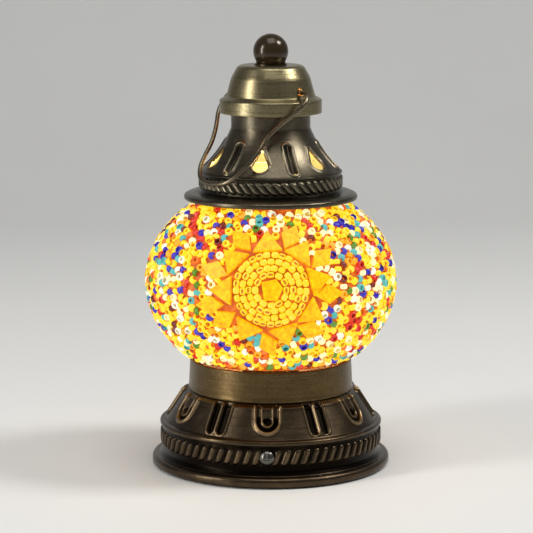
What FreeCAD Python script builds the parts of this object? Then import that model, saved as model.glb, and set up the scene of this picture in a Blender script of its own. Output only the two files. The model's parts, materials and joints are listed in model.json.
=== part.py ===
"""Mosaic glass table lamp: stamped brass base, beaded glass globe and a lift-off pierced hat.

Frame: millimetres, +Z up, origin on the table under the lamp's axis, front towards -Y.
Angles called azimuth are measured round +Z from the front, positive towards +X.
"""
import FreeCAD, Part
import os
from math import asin, atan2, cos, degrees, hypot, pi, radians, sin, sqrt, tan

import Sketcher
from FreeCAD import Placement, Rotation, Vector

os.makedirs("parts", exist_ok=True)
document = FreeCAD.newDocument("mosaic_lamp")

# ---------------------------------------------------------------- driving dimensions, mm
DIMENSIONS = (
    ("sheet_wall", 1.1),
    # base shell
    ("foot_radius", 57.1),
    ("foot_bead", 5.2),
    ("foot_inner", 51.9),
    ("foot_flat_outer", 55.0),
    ("cove_top", 9.4),
    ("rope_radius", 53.2),
    ("rope_top", 18.0),
    ("ridge_radius", 53.2),
    ("ridge_height", 20.4),
    ("skirt_low_radius", 50.4),
    ("skirt_low", 21.9),
    ("skirt_high_radius", 42.9),
    ("skirt_high", 33.8),
    ("shoulder_radius", 39.8),
    ("shoulder_height", 36.6),
    ("shoulder_inner", 36.5),
    # neck collar and the globe's seat
    ("collar_low_radius", 39.5),
    ("collar_high_radius", 38.7),
    ("collar_wall", 1.0),
    ("collar_top", 51.2),
    ("seat_top", 46.0),
    ("seat_thickness", 1.0),
    ("gasket_thickness", 1.2),
    ("gasket_inner", 30.6),
    ("gasket_outer", 35.6),
    # glass globe and what is laid on it
    ("globe_centre", 88.2),
    ("glass_radius", 57.6),
    ("glass_half_height", 46.0),
    ("glass_wall", 2.2),
    ("glass_low", 51.4),
    ("glass_high", 126.6),
    ("low_lip_radius", 34.0),
    ("high_lip_radius", 31.2),
    ("high_lip_top", 129.0),
    ("grout_thickness", 0.5),
    ("bead_thickness", 2.1),
    ("beads_high", 127.6),
    ("star_height", 94.0),
    ("star_count", 3),
    ("rosette_radius", 17.2),
    ("star_clear_radius", 35.3),
    ("tile_thickness", 1.5),
    ("tile_gap", 0.15),
    ("triangle_base", 13.4),
    ("triangle_inner", 18.7),
    ("triangle_outer", 29.4),
    ("diamond_length", 14.4),
    ("diamond_width", 9.0),
    ("centre_tile_radius", 5.6),
    # lamp holder and bulb
    ("holder_radius", 13.4),
    ("holder_bottom", 34.0),
    ("holder_top", 66.0),
    ("holder_stem", 11.2),
    ("holder_bore", 8.0),
    ("holder_floor", 48.0),
    ("bulb_cap_radius", 7.0),
    ("bulb_cap_bottom", 51.0),
    ("bulb_cap_top", 67.0),
    ("bulb_housing_radius", 12.4),
    ("bulb_housing_top", 78.0),
    ("bulb_radius", 17.5),
    ("bulb_widest", 90.0),
    ("bulb_top", 107.5),
    # bottom plate, battery tray, door and switch
    ("plate_bottom", 2.0),
    ("plate_thickness", 1.6),
    ("plate_radius", 51.6),
    ("plate_rim_wall", 1.6),
    ("plate_rim_top", 17.4),
    ("tray_length", 60.0),
    ("tray_width", 48.0),
    ("tray_height", 17.0),
    ("tray_wall", 1.6),
    ("cell_radius", 7.1),
    ("cell_length", 50.5),
    ("cell_pitch", 14.8),
    ("door_gap", 0.25),
    ("switch_distance", 36.0),
    ("switch_length", 20.0),
    ("switch_width", 8.0),
    ("switch_height", 7.0),
    ("slot_length", 9.0),
    ("slot_width", 3.4),
    ("slider_length", 4.6),
    ("side_screw_height", 13.8),
    ("screw_head_radius", 3.5),
    ("screw_shank_radius", 1.5),
    # hat
    ("flange_radius", 41.2),
    ("flange_bottom", 128.1),
    ("flange_top", 131.3),
    ("hat_wall", 1.0),
    ("hat_rope_radius", 34.3),
    ("hat_rope_bottom", 132.3),
    ("hat_rope_top", 140.5),
    ("bell_low_radius", 33.3),
    ("bell_low", 141.9),
    ("neck_radius", 18.8),
    ("neck_bottom", 162.0),
    ("neck_top", 170.6),
    ("bell_curve", 50.0),
    ("seat_ring_inner", 21.5),
    ("clip_radius", 26.2),
    ("drop_hole_height", 147.0),
    ("drop_hole_distance", 29.0),
    ("drop_hole_radius", 3.7),
    ("drop_hole_length", 11.5),
    # dome, finial and bail
    ("dome_bottom", 169.0),
    ("dome_band_radius", 24.2),
    ("dome_band_top", 175.4),
    ("dome_step_radius", 20.7),
    ("dome_step_top", 177.6),
    ("dome_top_radius", 15.5),
    ("dome_top", 191.5),
    ("dome_curve", 23.0),
    ("dome_wall", 1.0),
    ("rod_radius", 2.0),
    ("rod_bottom", 160.5),
    ("spider_height", 166.0),
    ("finial_radius", 8.3),
    ("finial_centre", 197.9),
    ("finial_foot_radius", 7.2),
    ("washer_thickness", 0.6),
    ("bail_wire_radius", 1.05),
    ("bail_hole_radius", 1.7),
    ("bail_pivot_height", 179.8),
    ("bail_azimuth", 43.0),
    ("bail_rest_angle", 42.5),
)

sheet = document.addObject("Spreadsheet::Sheet", "dims")
for row, (alias, size) in enumerate(DIMENSIONS, start=1):
    sheet.set(f"A{row}", alias)
    sheet.set(f"B{row}", str(size))
    sheet.setAlias(f"B{row}", alias)
document.recompute()

SUB_PARTS = []


def size_of(alias):
    """A driving dimension as a plain number."""
    return float(getattr(sheet, alias))


def keep(item, label):
    """Name an object of the document as one sub-part of the lamp."""
    item.Label = label
    SUB_PARTS.append(item)
    return item


def around(azimuth):
    """Rotation that carries the front of the lamp round to an azimuth."""
    return Placement(Vector(0, 0, 0), Rotation(Vector(0, 0, 1), azimuth))


# ---------------------------------------------------------------- sketches and turned parts
def corner_value(sketch, expression):
    return float(sketch.evalExpression(expression))


def arc_between(start, end, radius, side):
    """Arc of a circle; side is +1 when its centre lies left of the way from start to end."""
    chord = end - start
    left = Vector(-chord.y, chord.x, 0).normalize()
    reach = sqrt(max(radius ** 2 - chord.Length ** 2 / 4, 0))
    centre = (start + end) * 0.5 + left * (side * reach)
    first, last = (start, end) if side > 0 else (end, start)
    angles = [atan2(p.y - centre.y, p.x - centre.x) for p in (first, last)]
    if angles[1] < angles[0]:
        angles[1] += 2 * pi
    return Part.ArcOfCircle(Part.Circle(centre, Vector(0, 0, 1), radius), *angles)


def draw(sketch, outline):
    """Closed outline of (x, y) corners; (x, y, radius, side) reaches its corner by an arc.

    Every entry is an expression, and stays bound to the sheet as a constraint.
    """
    places = [Vector(corner_value(sketch, c[0]), corner_value(sketch, c[1]), 0) for c in outline]
    ends = []
    for index, corner in enumerate(outline):
        start, end = places[index - 1], places[index]
        if len(corner) == 2:
            sketch.addGeometry(Part.LineSegment(start, end))
            ends.append((1, 2))
        else:
            radius, side = corner_value(sketch, corner[2]), corner[3]
            sketch.addGeometry(arc_between(start, end, radius, side))
            ends.append((1, 2) if side > 0 else (2, 1))
    for index in range(len(outline)):
        before = index - 1 if index else len(outline) - 1
        sketch.addConstraint(
            Sketcher.Constraint("Coincident", before, ends[before][1], index, ends[index][0]))
    for index, corner in enumerate(outline):
        point = ends[index][1]
        for kind, along, axis in (("DistanceX", corner[0], -2), ("DistanceY", corner[1], -1)):
            number = corner_value(sketch, along)
            if abs(number) < 1e-9:
                sketch.addConstraint(Sketcher.Constraint("PointOnObject", index, point, axis))
                continue
            made = sketch.addConstraint(
                Sketcher.Constraint(kind, -1, 1, index, point, number))
            sketch.setExpression(f"Constraints[{made}]", along)
        if len(corner) > 2:
            made = sketch.addConstraint(
                Sketcher.Constraint("Radius", index, corner_value(sketch, corner[2])))
            sketch.setExpression(f"Constraints[{made}]", corner[2])


def sketch_on(body, plane, name, outline):
    sketch = body.newObject("Sketcher::SketchObject", name)
    planes = {feature.Role: feature for feature in body.Origin.OriginFeatures}
    sketch.AttachmentSupport = [(planes[plane], "")]
    sketch.MapMode = "FlatFace"
    draw(sketch, outline)
    return sketch


def turned_body(label, outline):
    """A body turned about the lamp's axis from a section in the XZ plane."""
    body = keep(document.addObject("PartDesign::Body", label), label)
    section = sketch_on(body, "XZ_Plane", label + "_section", outline)
    turn = body.newObject("PartDesign::Revolution", label + "_turned")
    turn.Profile = section
    turn.ReferenceAxis = (section, ["V_Axis"])
    turn.Angle = 360
    body.Tip = turn
    document.recompute()
    return body


def ring_body(label, inner, outer, low, high):
    """A plain ring of rectangular section."""
    return turned_body(label, [(inner, low), (outer, low), (outer, high), (inner, high)])


def disc_body(label, outer, low, high):
    """A plain disc or rod of one radius."""
    return turned_body(label, [("0", low), (outer, low), (outer, high), ("0", high)])


def radial_holes(body, radius, height, azimuths, reach):
    """Round holes drilled from the axis outwards through a body's wall."""
    for number, azimuth in enumerate(azimuths):
        drill = body.newObject("PartDesign::SubtractiveCylinder", f"{body.Name}_drill_{number}")
        drill.setExpression("Radius", radius)
        drill.setExpression("Height", reach)
        lie_flat = Rotation(Vector(1, 0, 0), 90)
        drill.Placement = around(azimuth) * Placement(Vector(0, 0, size_of(height)), lie_flat)
        body.Tip = drill
        document.recompute()


def add_made(label, shape):
    """A sub-part whose shape is worked out with Part's own functions."""
    item = keep(document.addObject("Part::Feature", label), label)
    item.Shape = shape
    return item


def box_between(low, high):
    span = Vector(*high) - Vector(*low)
    return Part.makeBox(span.x, span.y, span.z, Vector(*low))


def rod_between(start, end, radius):
    along = Vector(*end) - Vector(*start)
    return Part.makeCylinder(radius, along.Length, Vector(*start), along)


# ---------------------------------------------------------------- base shell and collar
SCREW_AZIMUTHS = (-2, 118, 238)

base_shell = turned_body("base_shell", [
    ("dims.foot_inner", "0"),
    ("dims.foot_flat_outer", "0"),
    ("dims.foot_radius", "dims.foot_bead / 2", "dims.foot_bead / 2", 1),
    ("dims.foot_flat_outer", "dims.foot_bead", "dims.foot_bead / 2", 1),
    ("dims.rope_radius", "dims.cove_top", "5", -1),
    ("dims.rope_radius", "dims.rope_top"),
    ("dims.ridge_radius - 1", "dims.ridge_height - 1"),
    ("dims.ridge_radius - 1", "dims.ridge_height + 1", "1.1", 1),
    ("dims.skirt_low_radius", "dims.skirt_low"),
    ("dims.skirt_high_radius", "dims.skirt_high"),
    ("dims.skirt_high_radius - 1.1", "dims.skirt_high + 1.2", "1.4", 1),
    ("dims.shoulder_radius", "dims.shoulder_height"),
    ("dims.shoulder_inner", "dims.shoulder_height"),
    ("dims.shoulder_inner", "dims.shoulder_height - dims.sheet_wall"),
    ("dims.shoulder_radius - 0.4", "dims.shoulder_height - dims.sheet_wall"),
    ("dims.skirt_high_radius - 1.3", "dims.skirt_high - 0.3"),
    ("dims.skirt_low_radius - 1.3", "dims.skirt_low - 0.3"),
    ("dims.foot_inner", "dims.rope_top"),
])
radial_holes(base_shell, "dims.screw_shank_radius + 0.2", "side_screw_height",
             SCREW_AZIMUTHS, "dims.foot_radius")

turned_body("neck_collar", [
    ("dims.shoulder_inner", "dims.shoulder_height"),
    ("dims.collar_low_radius - 0.6", "dims.shoulder_height"),
    ("dims.collar_low_radius", "dims.shoulder_height + 0.6", "0.6", 1),
    ("dims.collar_high_radius", "dims.collar_top"),
    ("dims.collar_high_radius - 1.6", "dims.collar_top"),
    ("dims.collar_high_radius - 1.6", "dims.collar_top - dims.collar_wall"),
    ("dims.collar_high_radius - dims.collar_wall", "dims.collar_top - dims.collar_wall"),
    ("dims.collar_low_radius - dims.collar_wall", "dims.shoulder_height + dims.collar_wall"),
    ("dims.shoulder_inner", "dims.shoulder_height + dims.collar_wall"),
])

# ---------------------------------------------------------------- globe seat
ring_body("seat_plate", "dims.holder_stem + 0.2",
          "dims.collar_high_radius - dims.collar_wall - 0.1",
          "dims.seat_top - dims.seat_thickness", "dims.seat_top")
ring_body("seat_gasket", "dims.gasket_inner", "dims.gasket_outer",
          "dims.seat_top", "dims.seat_top + dims.gasket_thickness")


# ---------------------------------------------------------------- glass globe and its mosaic
def ellipse_edge(cover, low, high):
    """Meridian of the globe's ellipse, grown by cover over the glass, from low to high."""
    radius = size_of("glass_radius") + cover
    half_height = size_of("glass_half_height") + cover
    centre = size_of("globe_centre")
    ellipse = Part.Ellipse(Vector(0, 0, centre), radius, half_height)
    ellipse.Axis = Vector(0, -1, 0)
    ellipse.XAxis = Vector(1, 0, 0)
    turns = [asin((z - centre) / half_height) for z in (low, high)]
    return Part.ArcOfEllipse(ellipse, *turns).toShape()


def globe_layer(inner_cover, outer_cover, low, high):
    """Shell between two covers of the globe, cut level at low and high."""
    inside = ellipse_edge(inner_cover, low, high)
    outside = ellipse_edge(outer_cover, low, high)
    low_edge = Part.makeLine(inside.Vertexes[0].Point, outside.Vertexes[0].Point)
    high_edge = Part.makeLine(inside.Vertexes[1].Point, outside.Vertexes[1].Point)
    section = Part.Face(Part.Wire(Part.__sortEdges__([inside, high_edge, outside, low_edge])))
    return section.revolve(Vector(0, 0, 0), Vector(0, 0, 1), 360)


def level_ring(inner, outer, low, high):
    ring = Part.makeCylinder(outer, high - low, Vector(0, 0, low))
    return ring.cut(Part.makeCylinder(inner, high - low, Vector(0, 0, low)))


glass_wall = size_of("glass_wall")
low_lip = level_ring(size_of("low_lip_radius") - glass_wall, size_of("low_lip_radius"),
                     size_of("seat_top") + size_of("gasket_thickness"),
                     size_of("glass_low") + 0.3)
high_lip = level_ring(size_of("high_lip_radius") - glass_wall, size_of("high_lip_radius"),
                      size_of("glass_high") - 0.3, size_of("high_lip_top"))
glass = globe_layer(-glass_wall, 0, size_of("glass_low"), size_of("glass_high"))
glass = glass.fuse([low_lip, high_lip]).removeSplitter()

# the one blown glass is written as equal gores that meet face to face
GORES = 8
gore_room = Part.makeCylinder(size_of("foot_radius"), size_of("high_lip_top"), Vector(0, 0, 0),
                              Vector(0, 0, 1), 360 / GORES)
gore = glass.common(gore_room)
add_made("glass_globe", Part.makeCompound(
    [gore.transformed(around(360 / GORES * number).toMatrix()) for number in range(GORES)]))

grout_cover = size_of("grout_thickness")
bead_cover = grout_cover + size_of("bead_thickness")
grout = globe_layer(0, grout_cover, size_of("glass_low"), size_of("beads_high"))
add_made("grout_layer", grout.cut(glass))


def globe_place(star_azimuth, east, north, cover):
    """Placement on the globe at arc distances east and north of a star's centre.

    Its Z axis is the surface normal and its Y axis points up the meridian.
    """
    radius = size_of("glass_radius") + cover
    half_height = size_of("glass_half_height") + cover
    turn = asin((size_of("star_height") - size_of("globe_centre")) / half_height)
    steps = 40
    for _ in range(steps):
        turn += north / steps / hypot(radius * sin(turn), half_height * cos(turn))
    level_radius = radius * cos(turn)
    height = size_of("globe_centre") + half_height * sin(turn)
    azimuth = star_azimuth + degrees(east / level_radius)
    tilt = degrees(atan2(radius * sin(turn), half_height * cos(turn)))
    upright = Rotation(Vector(1, 0, 0), 90 - tilt)
    return around(azimuth) * Placement(Vector(0, -level_radius, height), upright)


def prism(place, corners, depth):
    """Flat tile with its outer face on the placement's plane."""
    points = [Vector(x, y, -depth) for x, y in corners]
    face = Part.Face(Part.makePolygon(points + points[:1]))
    tile = face.extrude(Vector(0, 0, depth))
    tile.Placement = place
    return tile


def laid_tile(star_azimuth, angle, distance, heading, length, corners):
    """Tile whose middle lies at an angle and distance from a star's centre.

    Its long axis points along heading, measured like the angle clockwise from straight up.
    Corners are (across, along) with along running from 0 at the inner end to 1.
    """
    turn = radians(angle)
    place = globe_place(star_azimuth, distance * sin(turn), distance * cos(turn),
                        bead_cover - TILE_SINK)
    place = place * Placement(Vector(0, 0, 0), Rotation(Vector(0, 0, 1), -heading))
    outline = [(across, (along - 0.5) * length) for across, along in corners]
    return prism(place, outline, size_of("tile_thickness"))


TILE_SINK = 0.2
# The tiles were laid by hand, so their rays are not evenly spaced.
TRIANGLE_ANGLES = (-4, 38, 79.4, 120.4, 163, 210.5, 268, 308.8)
# Each diamond is (angle, distance, heading).
DIAMONDS = ((-30, 27.4, -47), (19.5, 27.4, 30), (59.6, 28, 54), (95.8, 28, 89),
            (136.6, 27.5, 107), (182.5, 27.6, 158), (236.4, 26.8, 239), (254.5, 30.5, 266),
            (287, 28, 284))
STAR_AZIMUTHS = [360 / size_of("star_count") * k for k in range(int(size_of("star_count")))]
half_base = size_of("triangle_base") / 2
half_width = size_of("diamond_width") / 2
TRIANGLE = ((-half_base, 0.0), (half_base, 0.0), (0.0, 1.0))
DIAMOND = ((0.0, 0.0), (half_width, 0.5), (0.0, 1.0), (-half_width, 0.5))
CENTRE_CORNERS = (-50, 25, 80, 150, 215)


def star_tiles(layout, length, corners):
    return [laid_tile(azimuth, angle, distance, heading, length, corners)
            for azimuth in STAR_AZIMUTHS for angle, distance, heading in layout]


def centre_tiles(reach, depth):
    corners = [(reach * sin(radians(a)), reach * cos(radians(a))) for a in CENTRE_CORNERS]
    return [prism(globe_place(azimuth, 0, 0, bead_cover), corners, depth)
            for azimuth in STAR_AZIMUTHS]


def star_cores(radius):
    """Cylinders square to the globe at each star's centre."""
    depth = 12
    cores = []
    for azimuth in STAR_AZIMUTHS:
        core = Part.makeCylinder(radius, 3 * depth, Vector(0, 0, -2 * depth))
        core.Placement = globe_place(azimuth, 0, 0, bead_cover)
        cores.append(core)
    return cores


triangle_middle = (size_of("triangle_inner") + size_of("triangle_outer")) / 2
triangle_length = size_of("triangle_outer") - size_of("triangle_inner")
triangle_layout = [(angle, triangle_middle, angle) for angle in TRIANGLE_ANGLES]
centre_reach = size_of("centre_tile_radius")
add_made("star_triangles",
         Part.makeCompound(star_tiles(triangle_layout, triangle_length, TRIANGLE)))
add_made("star_diamonds",
         Part.makeCompound(star_tiles(DIAMONDS, size_of("diamond_length"), DIAMOND)))
add_made("star_centres",
         Part.makeCompound(centre_tiles(centre_reach, size_of("tile_thickness"))))

bead_shell = globe_layer(grout_cover, bead_cover, size_of("glass_low"), size_of("beads_high"))
bead_shell = bead_shell.cut(glass)
through = size_of("bead_thickness") + 1.5
centre_pockets = centre_tiles(centre_reach + size_of("tile_gap"), through)
rosettes = bead_shell.common(Part.makeCompound(star_cores(size_of("rosette_radius"))))
add_made("rosette_beads", Part.makeCompound(rosettes.cut(centre_pockets).Solids))
beads = bead_shell.cut(star_cores(size_of("star_clear_radius")))
add_made("bead_layer", Part.makeCompound(beads.Solids))

# ---------------------------------------------------------------- lamp holder
turned_body("lamp_holder", [
    ("3", "dims.holder_bottom"),
    ("dims.holder_stem", "dims.holder_bottom"),
    ("dims.holder_stem", "dims.seat_top"),
    ("dims.holder_radius", "dims.seat_top"),
    ("dims.holder_radius", "dims.holder_top"),
    ("dims.holder_bore", "dims.holder_top"),
    ("dims.holder_bore", "dims.holder_floor"),
    ("3", "dims.holder_floor"),
])
ring_body("holder_ring_nut", "dims.holder_stem + 0.05", "dims.holder_radius + 1.6",
          "dims.seat_top - dims.seat_thickness - 4", "dims.seat_top - dims.seat_thickness")
turned_body("holder_contact", [
    ("0", "dims.holder_floor - 3"),
    ("2.9", "dims.holder_floor - 3"),
    ("2.9", "dims.holder_floor"),
    ("4", "dims.holder_floor"),
    ("1.5", "dims.bulb_cap_bottom - 0.4"),
    ("0", "dims.bulb_cap_bottom - 0.4"),
])
ring_body("holder_screw_shell", "dims.bulb_cap_radius + 0.3", "dims.holder_bore - 0.05",
          "dims.holder_floor + 1", "dims.holder_top - 1")

# ---------------------------------------------------------------- bulb
turned_body("bulb_cap", [
    ("0", "dims.bulb_cap_bottom"),
    ("2.6", "dims.bulb_cap_bottom"),
    ("4.2", "dims.bulb_cap_bottom + 2"),
    ("dims.bulb_cap_radius", "dims.bulb_cap_bottom + 3.4"),
    ("dims.bulb_cap_radius", "dims.bulb_cap_top"),
    ("0", "dims.bulb_cap_top"),
])
turned_body("bulb_housing", [
    ("0", "dims.bulb_cap_top"),
    ("dims.bulb_cap_radius + 1", "dims.bulb_cap_top"),
    ("dims.bulb_housing_radius", "dims.bulb_housing_top"),
    ("0", "dims.bulb_housing_top"),
])
turned_body("bulb_envelope", [
    ("dims.bulb_housing_radius - 1.2", "dims.bulb_housing_top"),
    ("dims.bulb_housing_radius", "dims.bulb_housing_top"),
    ("dims.bulb_radius", "dims.bulb_widest", "24", 1),
    ("0", "dims.bulb_top", "dims.bulb_radius", 1),
    ("0", "dims.bulb_top - 1"),
    ("dims.bulb_radius - 1", "dims.bulb_widest", "dims.bulb_radius - 1", -1),
])
turned_body("led_emitter", [
    ("0", "dims.bulb_housing_top"),
    ("8", "dims.bulb_housing_top"),
    ("8", "dims.bulb_housing_top + 1.2"),
    ("3", "dims.bulb_housing_top + 2.4"),
    ("0", "dims.bulb_housing_top + 2.4"),
])

# ---------------------------------------------------------------- bottom plate and battery gear
plate_low = size_of("plate_bottom")
plate_high = plate_low + size_of("plate_thickness")
tray_half_x = size_of("tray_length") / 2
tray_half_y = size_of("tray_width") / 2
tray_wall = size_of("tray_wall")
well_half_x = tray_half_x - tray_wall
well_half_y = tray_half_y - tray_wall
tray_high = plate_high + size_of("tray_height")
switch_y = -size_of("switch_distance")

turned_plate = Part.makeCylinder(size_of("plate_radius"), size_of("plate_thickness"),
                                 Vector(0, 0, plate_low))
rim_inner = size_of("plate_radius") - size_of("plate_rim_wall")
plate_rim = level_ring(rim_inner, size_of("plate_radius"), plate_low, size_of("plate_rim_top"))
screw_height = size_of("side_screw_height")
bosses, boss_bores = [], []
for azimuth in SCREW_AZIMUTHS:
    boss = rod_between((0, -rim_inner - 0.5, screw_height), (0, -rim_inner + 6, screw_height), 3.2)
    bore = rod_between((0, -size_of("foot_radius"), screw_height),
                       (0, -rim_inner + 7, screw_height), size_of("screw_shank_radius") + 0.05)
    boss.Placement = around(azimuth) * boss.Placement
    bore.Placement = around(azimuth) * bore.Placement
    bosses.append(boss)
    boss_bores.append(bore)
door_well = box_between((-well_half_x, -well_half_y, plate_low - 1),
                        (well_half_x, well_half_y, plate_high + 1))
switch_slot = box_between(
    (-size_of("slot_length") / 2, switch_y - size_of("slot_width") / 2, plate_low - 1),
    (size_of("slot_length") / 2, switch_y + size_of("slot_width") / 2, plate_high + 1))
plate = turned_plate.fuse([plate_rim] + bosses)
plate = plate.cut(boss_bores + [door_well, switch_slot]).removeSplitter()
add_made("bottom_plate", plate)

tray = box_between((-tray_half_x, -tray_half_y, plate_high), (tray_half_x, tray_half_y, tray_high))
tray_well = box_between((-well_half_x, -well_half_y, plate_high - 1),
                        (well_half_x, well_half_y, tray_high - tray_wall))
ears, ear_bores, tray_screws = [], [], []
ear_top = plate_high + 5.5
for side_x, side_y in ((-1, -1), (1, -1), (1, 1), (-1, 1)):
    ear_place = (side_x * (tray_half_x + 3.2), side_y * (tray_half_y - 6))
    ears.append(rod_between((*ear_place, plate_high), (*ear_place, ear_top), 3.8))
    ear_bores.append(rod_between((*ear_place, plate_high - 1), (*ear_place, ear_top + 1), 1.25))
    shank = rod_between((*ear_place, plate_high), (*ear_place, ear_top + 1.5), 1.2)
    head = rod_between((*ear_place, ear_top), (*ear_place, ear_top + 1.5), 2.4)
    tray_screws.append(shank.fuse(head).removeSplitter())
add_made("battery_tray", tray.fuse(ears).cut(ear_bores + [tray_well]).removeSplitter())
add_made("tray_screws", Part.makeCompound(tray_screws))

cell_height = plate_high + 0.6 + size_of("cell_radius")
cell_half = size_of("cell_length") / 2
cell_rows = [size_of("cell_pitch") * k for k in (-1, 0, 1)]
cells, springs, contacts = [], [], []
for number, y in enumerate(cell_rows):
    facing = 1 if number % 2 == 0 else -1
    can = rod_between((-cell_half * facing, y, cell_height),
                      ((cell_half - 1) * facing, y, cell_height), size_of("cell_radius"))
    button = rod_between(((cell_half - 1.5) * facing, y, cell_height),
                         (cell_half * facing, y, cell_height), 2.7)
    cells.append(can.fuse(button).removeSplitter())
    spring_length = well_half_x - cell_half
    spring = Part.makeCone(4.6, 2.4, spring_length - 0.1,
                           Vector(-well_half_x * facing, y, cell_height), Vector(facing, 0, 0))
    springs.append(spring)
    pad_x = sorted((well_half_x * facing, (well_half_x - 0.5) * facing))
    contacts.append(box_between((pad_x[0], y - 5, cell_height - 5),
                                (pad_x[1], y + 5, cell_height + 5)))
add_made("battery_cells", Part.makeCompound(cells))
add_made("battery_springs", Part.makeCompound(springs))
add_made("battery_contacts", Part.makeCompound(contacts))


door_gap = size_of("door_gap")
door = box_between((-well_half_x + door_gap, -well_half_y + door_gap, plate_low),
                   (well_half_x - door_gap, well_half_y - door_gap, plate_high - 0.1))
thumb_notch = rod_between((-7, -well_half_y + 6, plate_low - 0.3),
                          (7, -well_half_y + 6, plate_low - 0.3), 1.0)
add_made("battery_door", door.cut(thumb_notch))

slot_half = size_of("slot_length") / 2
slot_half_width = size_of("slot_width") / 2
switch_top = plate_high + size_of("switch_height")
switch_case = box_between(
    (-size_of("switch_length") / 2, switch_y - size_of("switch_width") / 2, plate_high),
    (size_of("switch_length") / 2, switch_y + size_of("switch_width") / 2, switch_top))
switch_well = box_between((-slot_half, switch_y - slot_half_width, plate_high - 1),
                          (slot_half, switch_y + slot_half_width, switch_top - 2))
add_made("switch_body", switch_case.cut(switch_well))
slider_start = -slot_half + 0.2
slider = box_between(
    (slider_start, switch_y - slot_half_width + 0.2, plate_low - 1.1),
    (slider_start + size_of("slider_length"), switch_y + slot_half_width - 0.2, switch_top - 2.3))
add_made("switch_slider", slider)

head_bottom = size_of("rope_radius")
head_radius = size_of("screw_head_radius")
side_screws = []
for azimuth in SCREW_AZIMUTHS:
    shank = rod_between((0, -head_bottom, screw_height), (0, -rim_inner + 5, screw_height),
                        size_of("screw_shank_radius"))
    dome_sphere = Part.makeSphere(4.3, Vector(0, -head_bottom + 2.5, screw_height))
    head_slug = rod_between((0, -head_bottom, screw_height), (0, -head_bottom - 2.0, screw_height),
                            head_radius)
    slot_depth = head_bottom + 1.1
    cross = [box_between((-2.2, -slot_depth - 2, screw_height - 0.4),
                         (2.2, -slot_depth, screw_height + 0.4)),
             box_between((-0.4, -slot_depth - 2, screw_height - 2.2),
                         (0.4, -slot_depth, screw_height + 2.2))]
    screw = shank.fuse(head_slug.common(dome_sphere)).cut(cross).removeSplitter()
    screw.Placement = around(azimuth) * screw.Placement
    side_screws.append(screw)
add_made("side_screws", Part.makeCompound(side_screws))


# ---------------------------------------------------------------- wires and the bail
def rounded_path(points, radii):
    """Wire through points with a tangent arc of the given radius at each inner point."""
    edges = []
    last = points[0]
    for before, corner, after, radius in zip(points, points[1:], points[2:], radii):
        to_before = (before - corner).normalize()
        to_after = (after - corner).normalize()
        half_turn = to_before.getAngle(to_after) / 2
        setback = radius / tan(half_turn)
        first, second = corner + to_before * setback, corner + to_after * setback
        middle_way = (to_before + to_after).normalize()
        middle = corner + middle_way * (radius / sin(half_turn) - radius)
        edges.append(Part.makeLine(last, first))
        edges.append(Part.Arc(first, middle, second).toShape())
        last = second
    edges.append(Part.makeLine(last, points[-1]))
    return Part.Wire(edges)


def tube_along(points, radii, tube_radius):
    path = rounded_path(points, radii)
    start = Part.Wire(Part.makeCircle(tube_radius, points[0], points[1] - points[0]))
    return path.makePipeShell([start], True, False)


def wire_bend_radii(points, share=0.45):
    """The largest arcs that the runs on each side of every inner point allow."""
    radii = []
    for before, corner, after in zip(points, points[1:], points[2:]):
        shorter = min((before - corner).Length, (after - corner).Length)
        half_turn = (before - corner).getAngle(after - corner) / 2
        radii.append(share * shorter * tan(half_turn))
    return radii


holder_low = size_of("holder_bottom")
lead_routes = (
    [Vector(14, 8, tray_high), Vector(14, 8, tray_high + 5), Vector(6.5, 4, holder_low - 5),
     Vector(6.5, 4, holder_low)],
    [Vector(-14, 8, tray_high), Vector(-14, 8, tray_high + 5), Vector(-6.5, 4, holder_low - 5),
     Vector(-6.5, 4, holder_low)],
    [Vector(0, switch_y, switch_top), Vector(0, switch_y, switch_top + 14),
     Vector(0, switch_y + 20, holder_low - 6), Vector(0, -6.5, holder_low - 6),
     Vector(0, -6.5, holder_low)],
)
leads = [tube_along(route, wire_bend_radii(route), 0.8) for route in lead_routes]
add_made("internal_wires", Part.makeCompound(leads))

bail_azimuth = radians(size_of("bail_azimuth"))
bail_angle = radians(size_of("bail_rest_angle"))
pivot_way = Vector(sin(bail_azimuth), -cos(bail_azimuth), 0)
hang_side = Vector(-cos(bail_azimuth), -sin(bail_azimuth), 0)
hang_way = hang_side * sin(bail_angle) + Vector(0, 0, -cos(bail_angle))
pivot = Vector(0, 0, size_of("bail_pivot_height"))
# Each arm of the bent wire, as (outward, downward along the hanging direction).
RIGHT_ARM = ((18.2, 0), (24.8, 0), (28.6, 6.5), (25.2, 12.5), (20.6, 20), (16.8, 27.5),
             (17.8, 36.5), (15.6, 46.5), (9.8, 56.4))
LEFT_ARM = ((18.2, 0), (24.2, 0), (26.8, 6.5), (26.2, 14.5), (20.4, 24), (16.4, 33.5),
            (15.6, 42), (13.4, 49.5), (7.2, 56.2))
bail_route = [pivot + pivot_way * out + hang_way * down for out, down in RIGHT_ARM]
bail_route += [pivot - pivot_way * out + hang_way * down for out, down in reversed(LEFT_ARM)]
bail_radii = wire_bend_radii(bail_route)
add_made("bail_handle", tube_along(bail_route, bail_radii, size_of("bail_wire_radius")))

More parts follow.
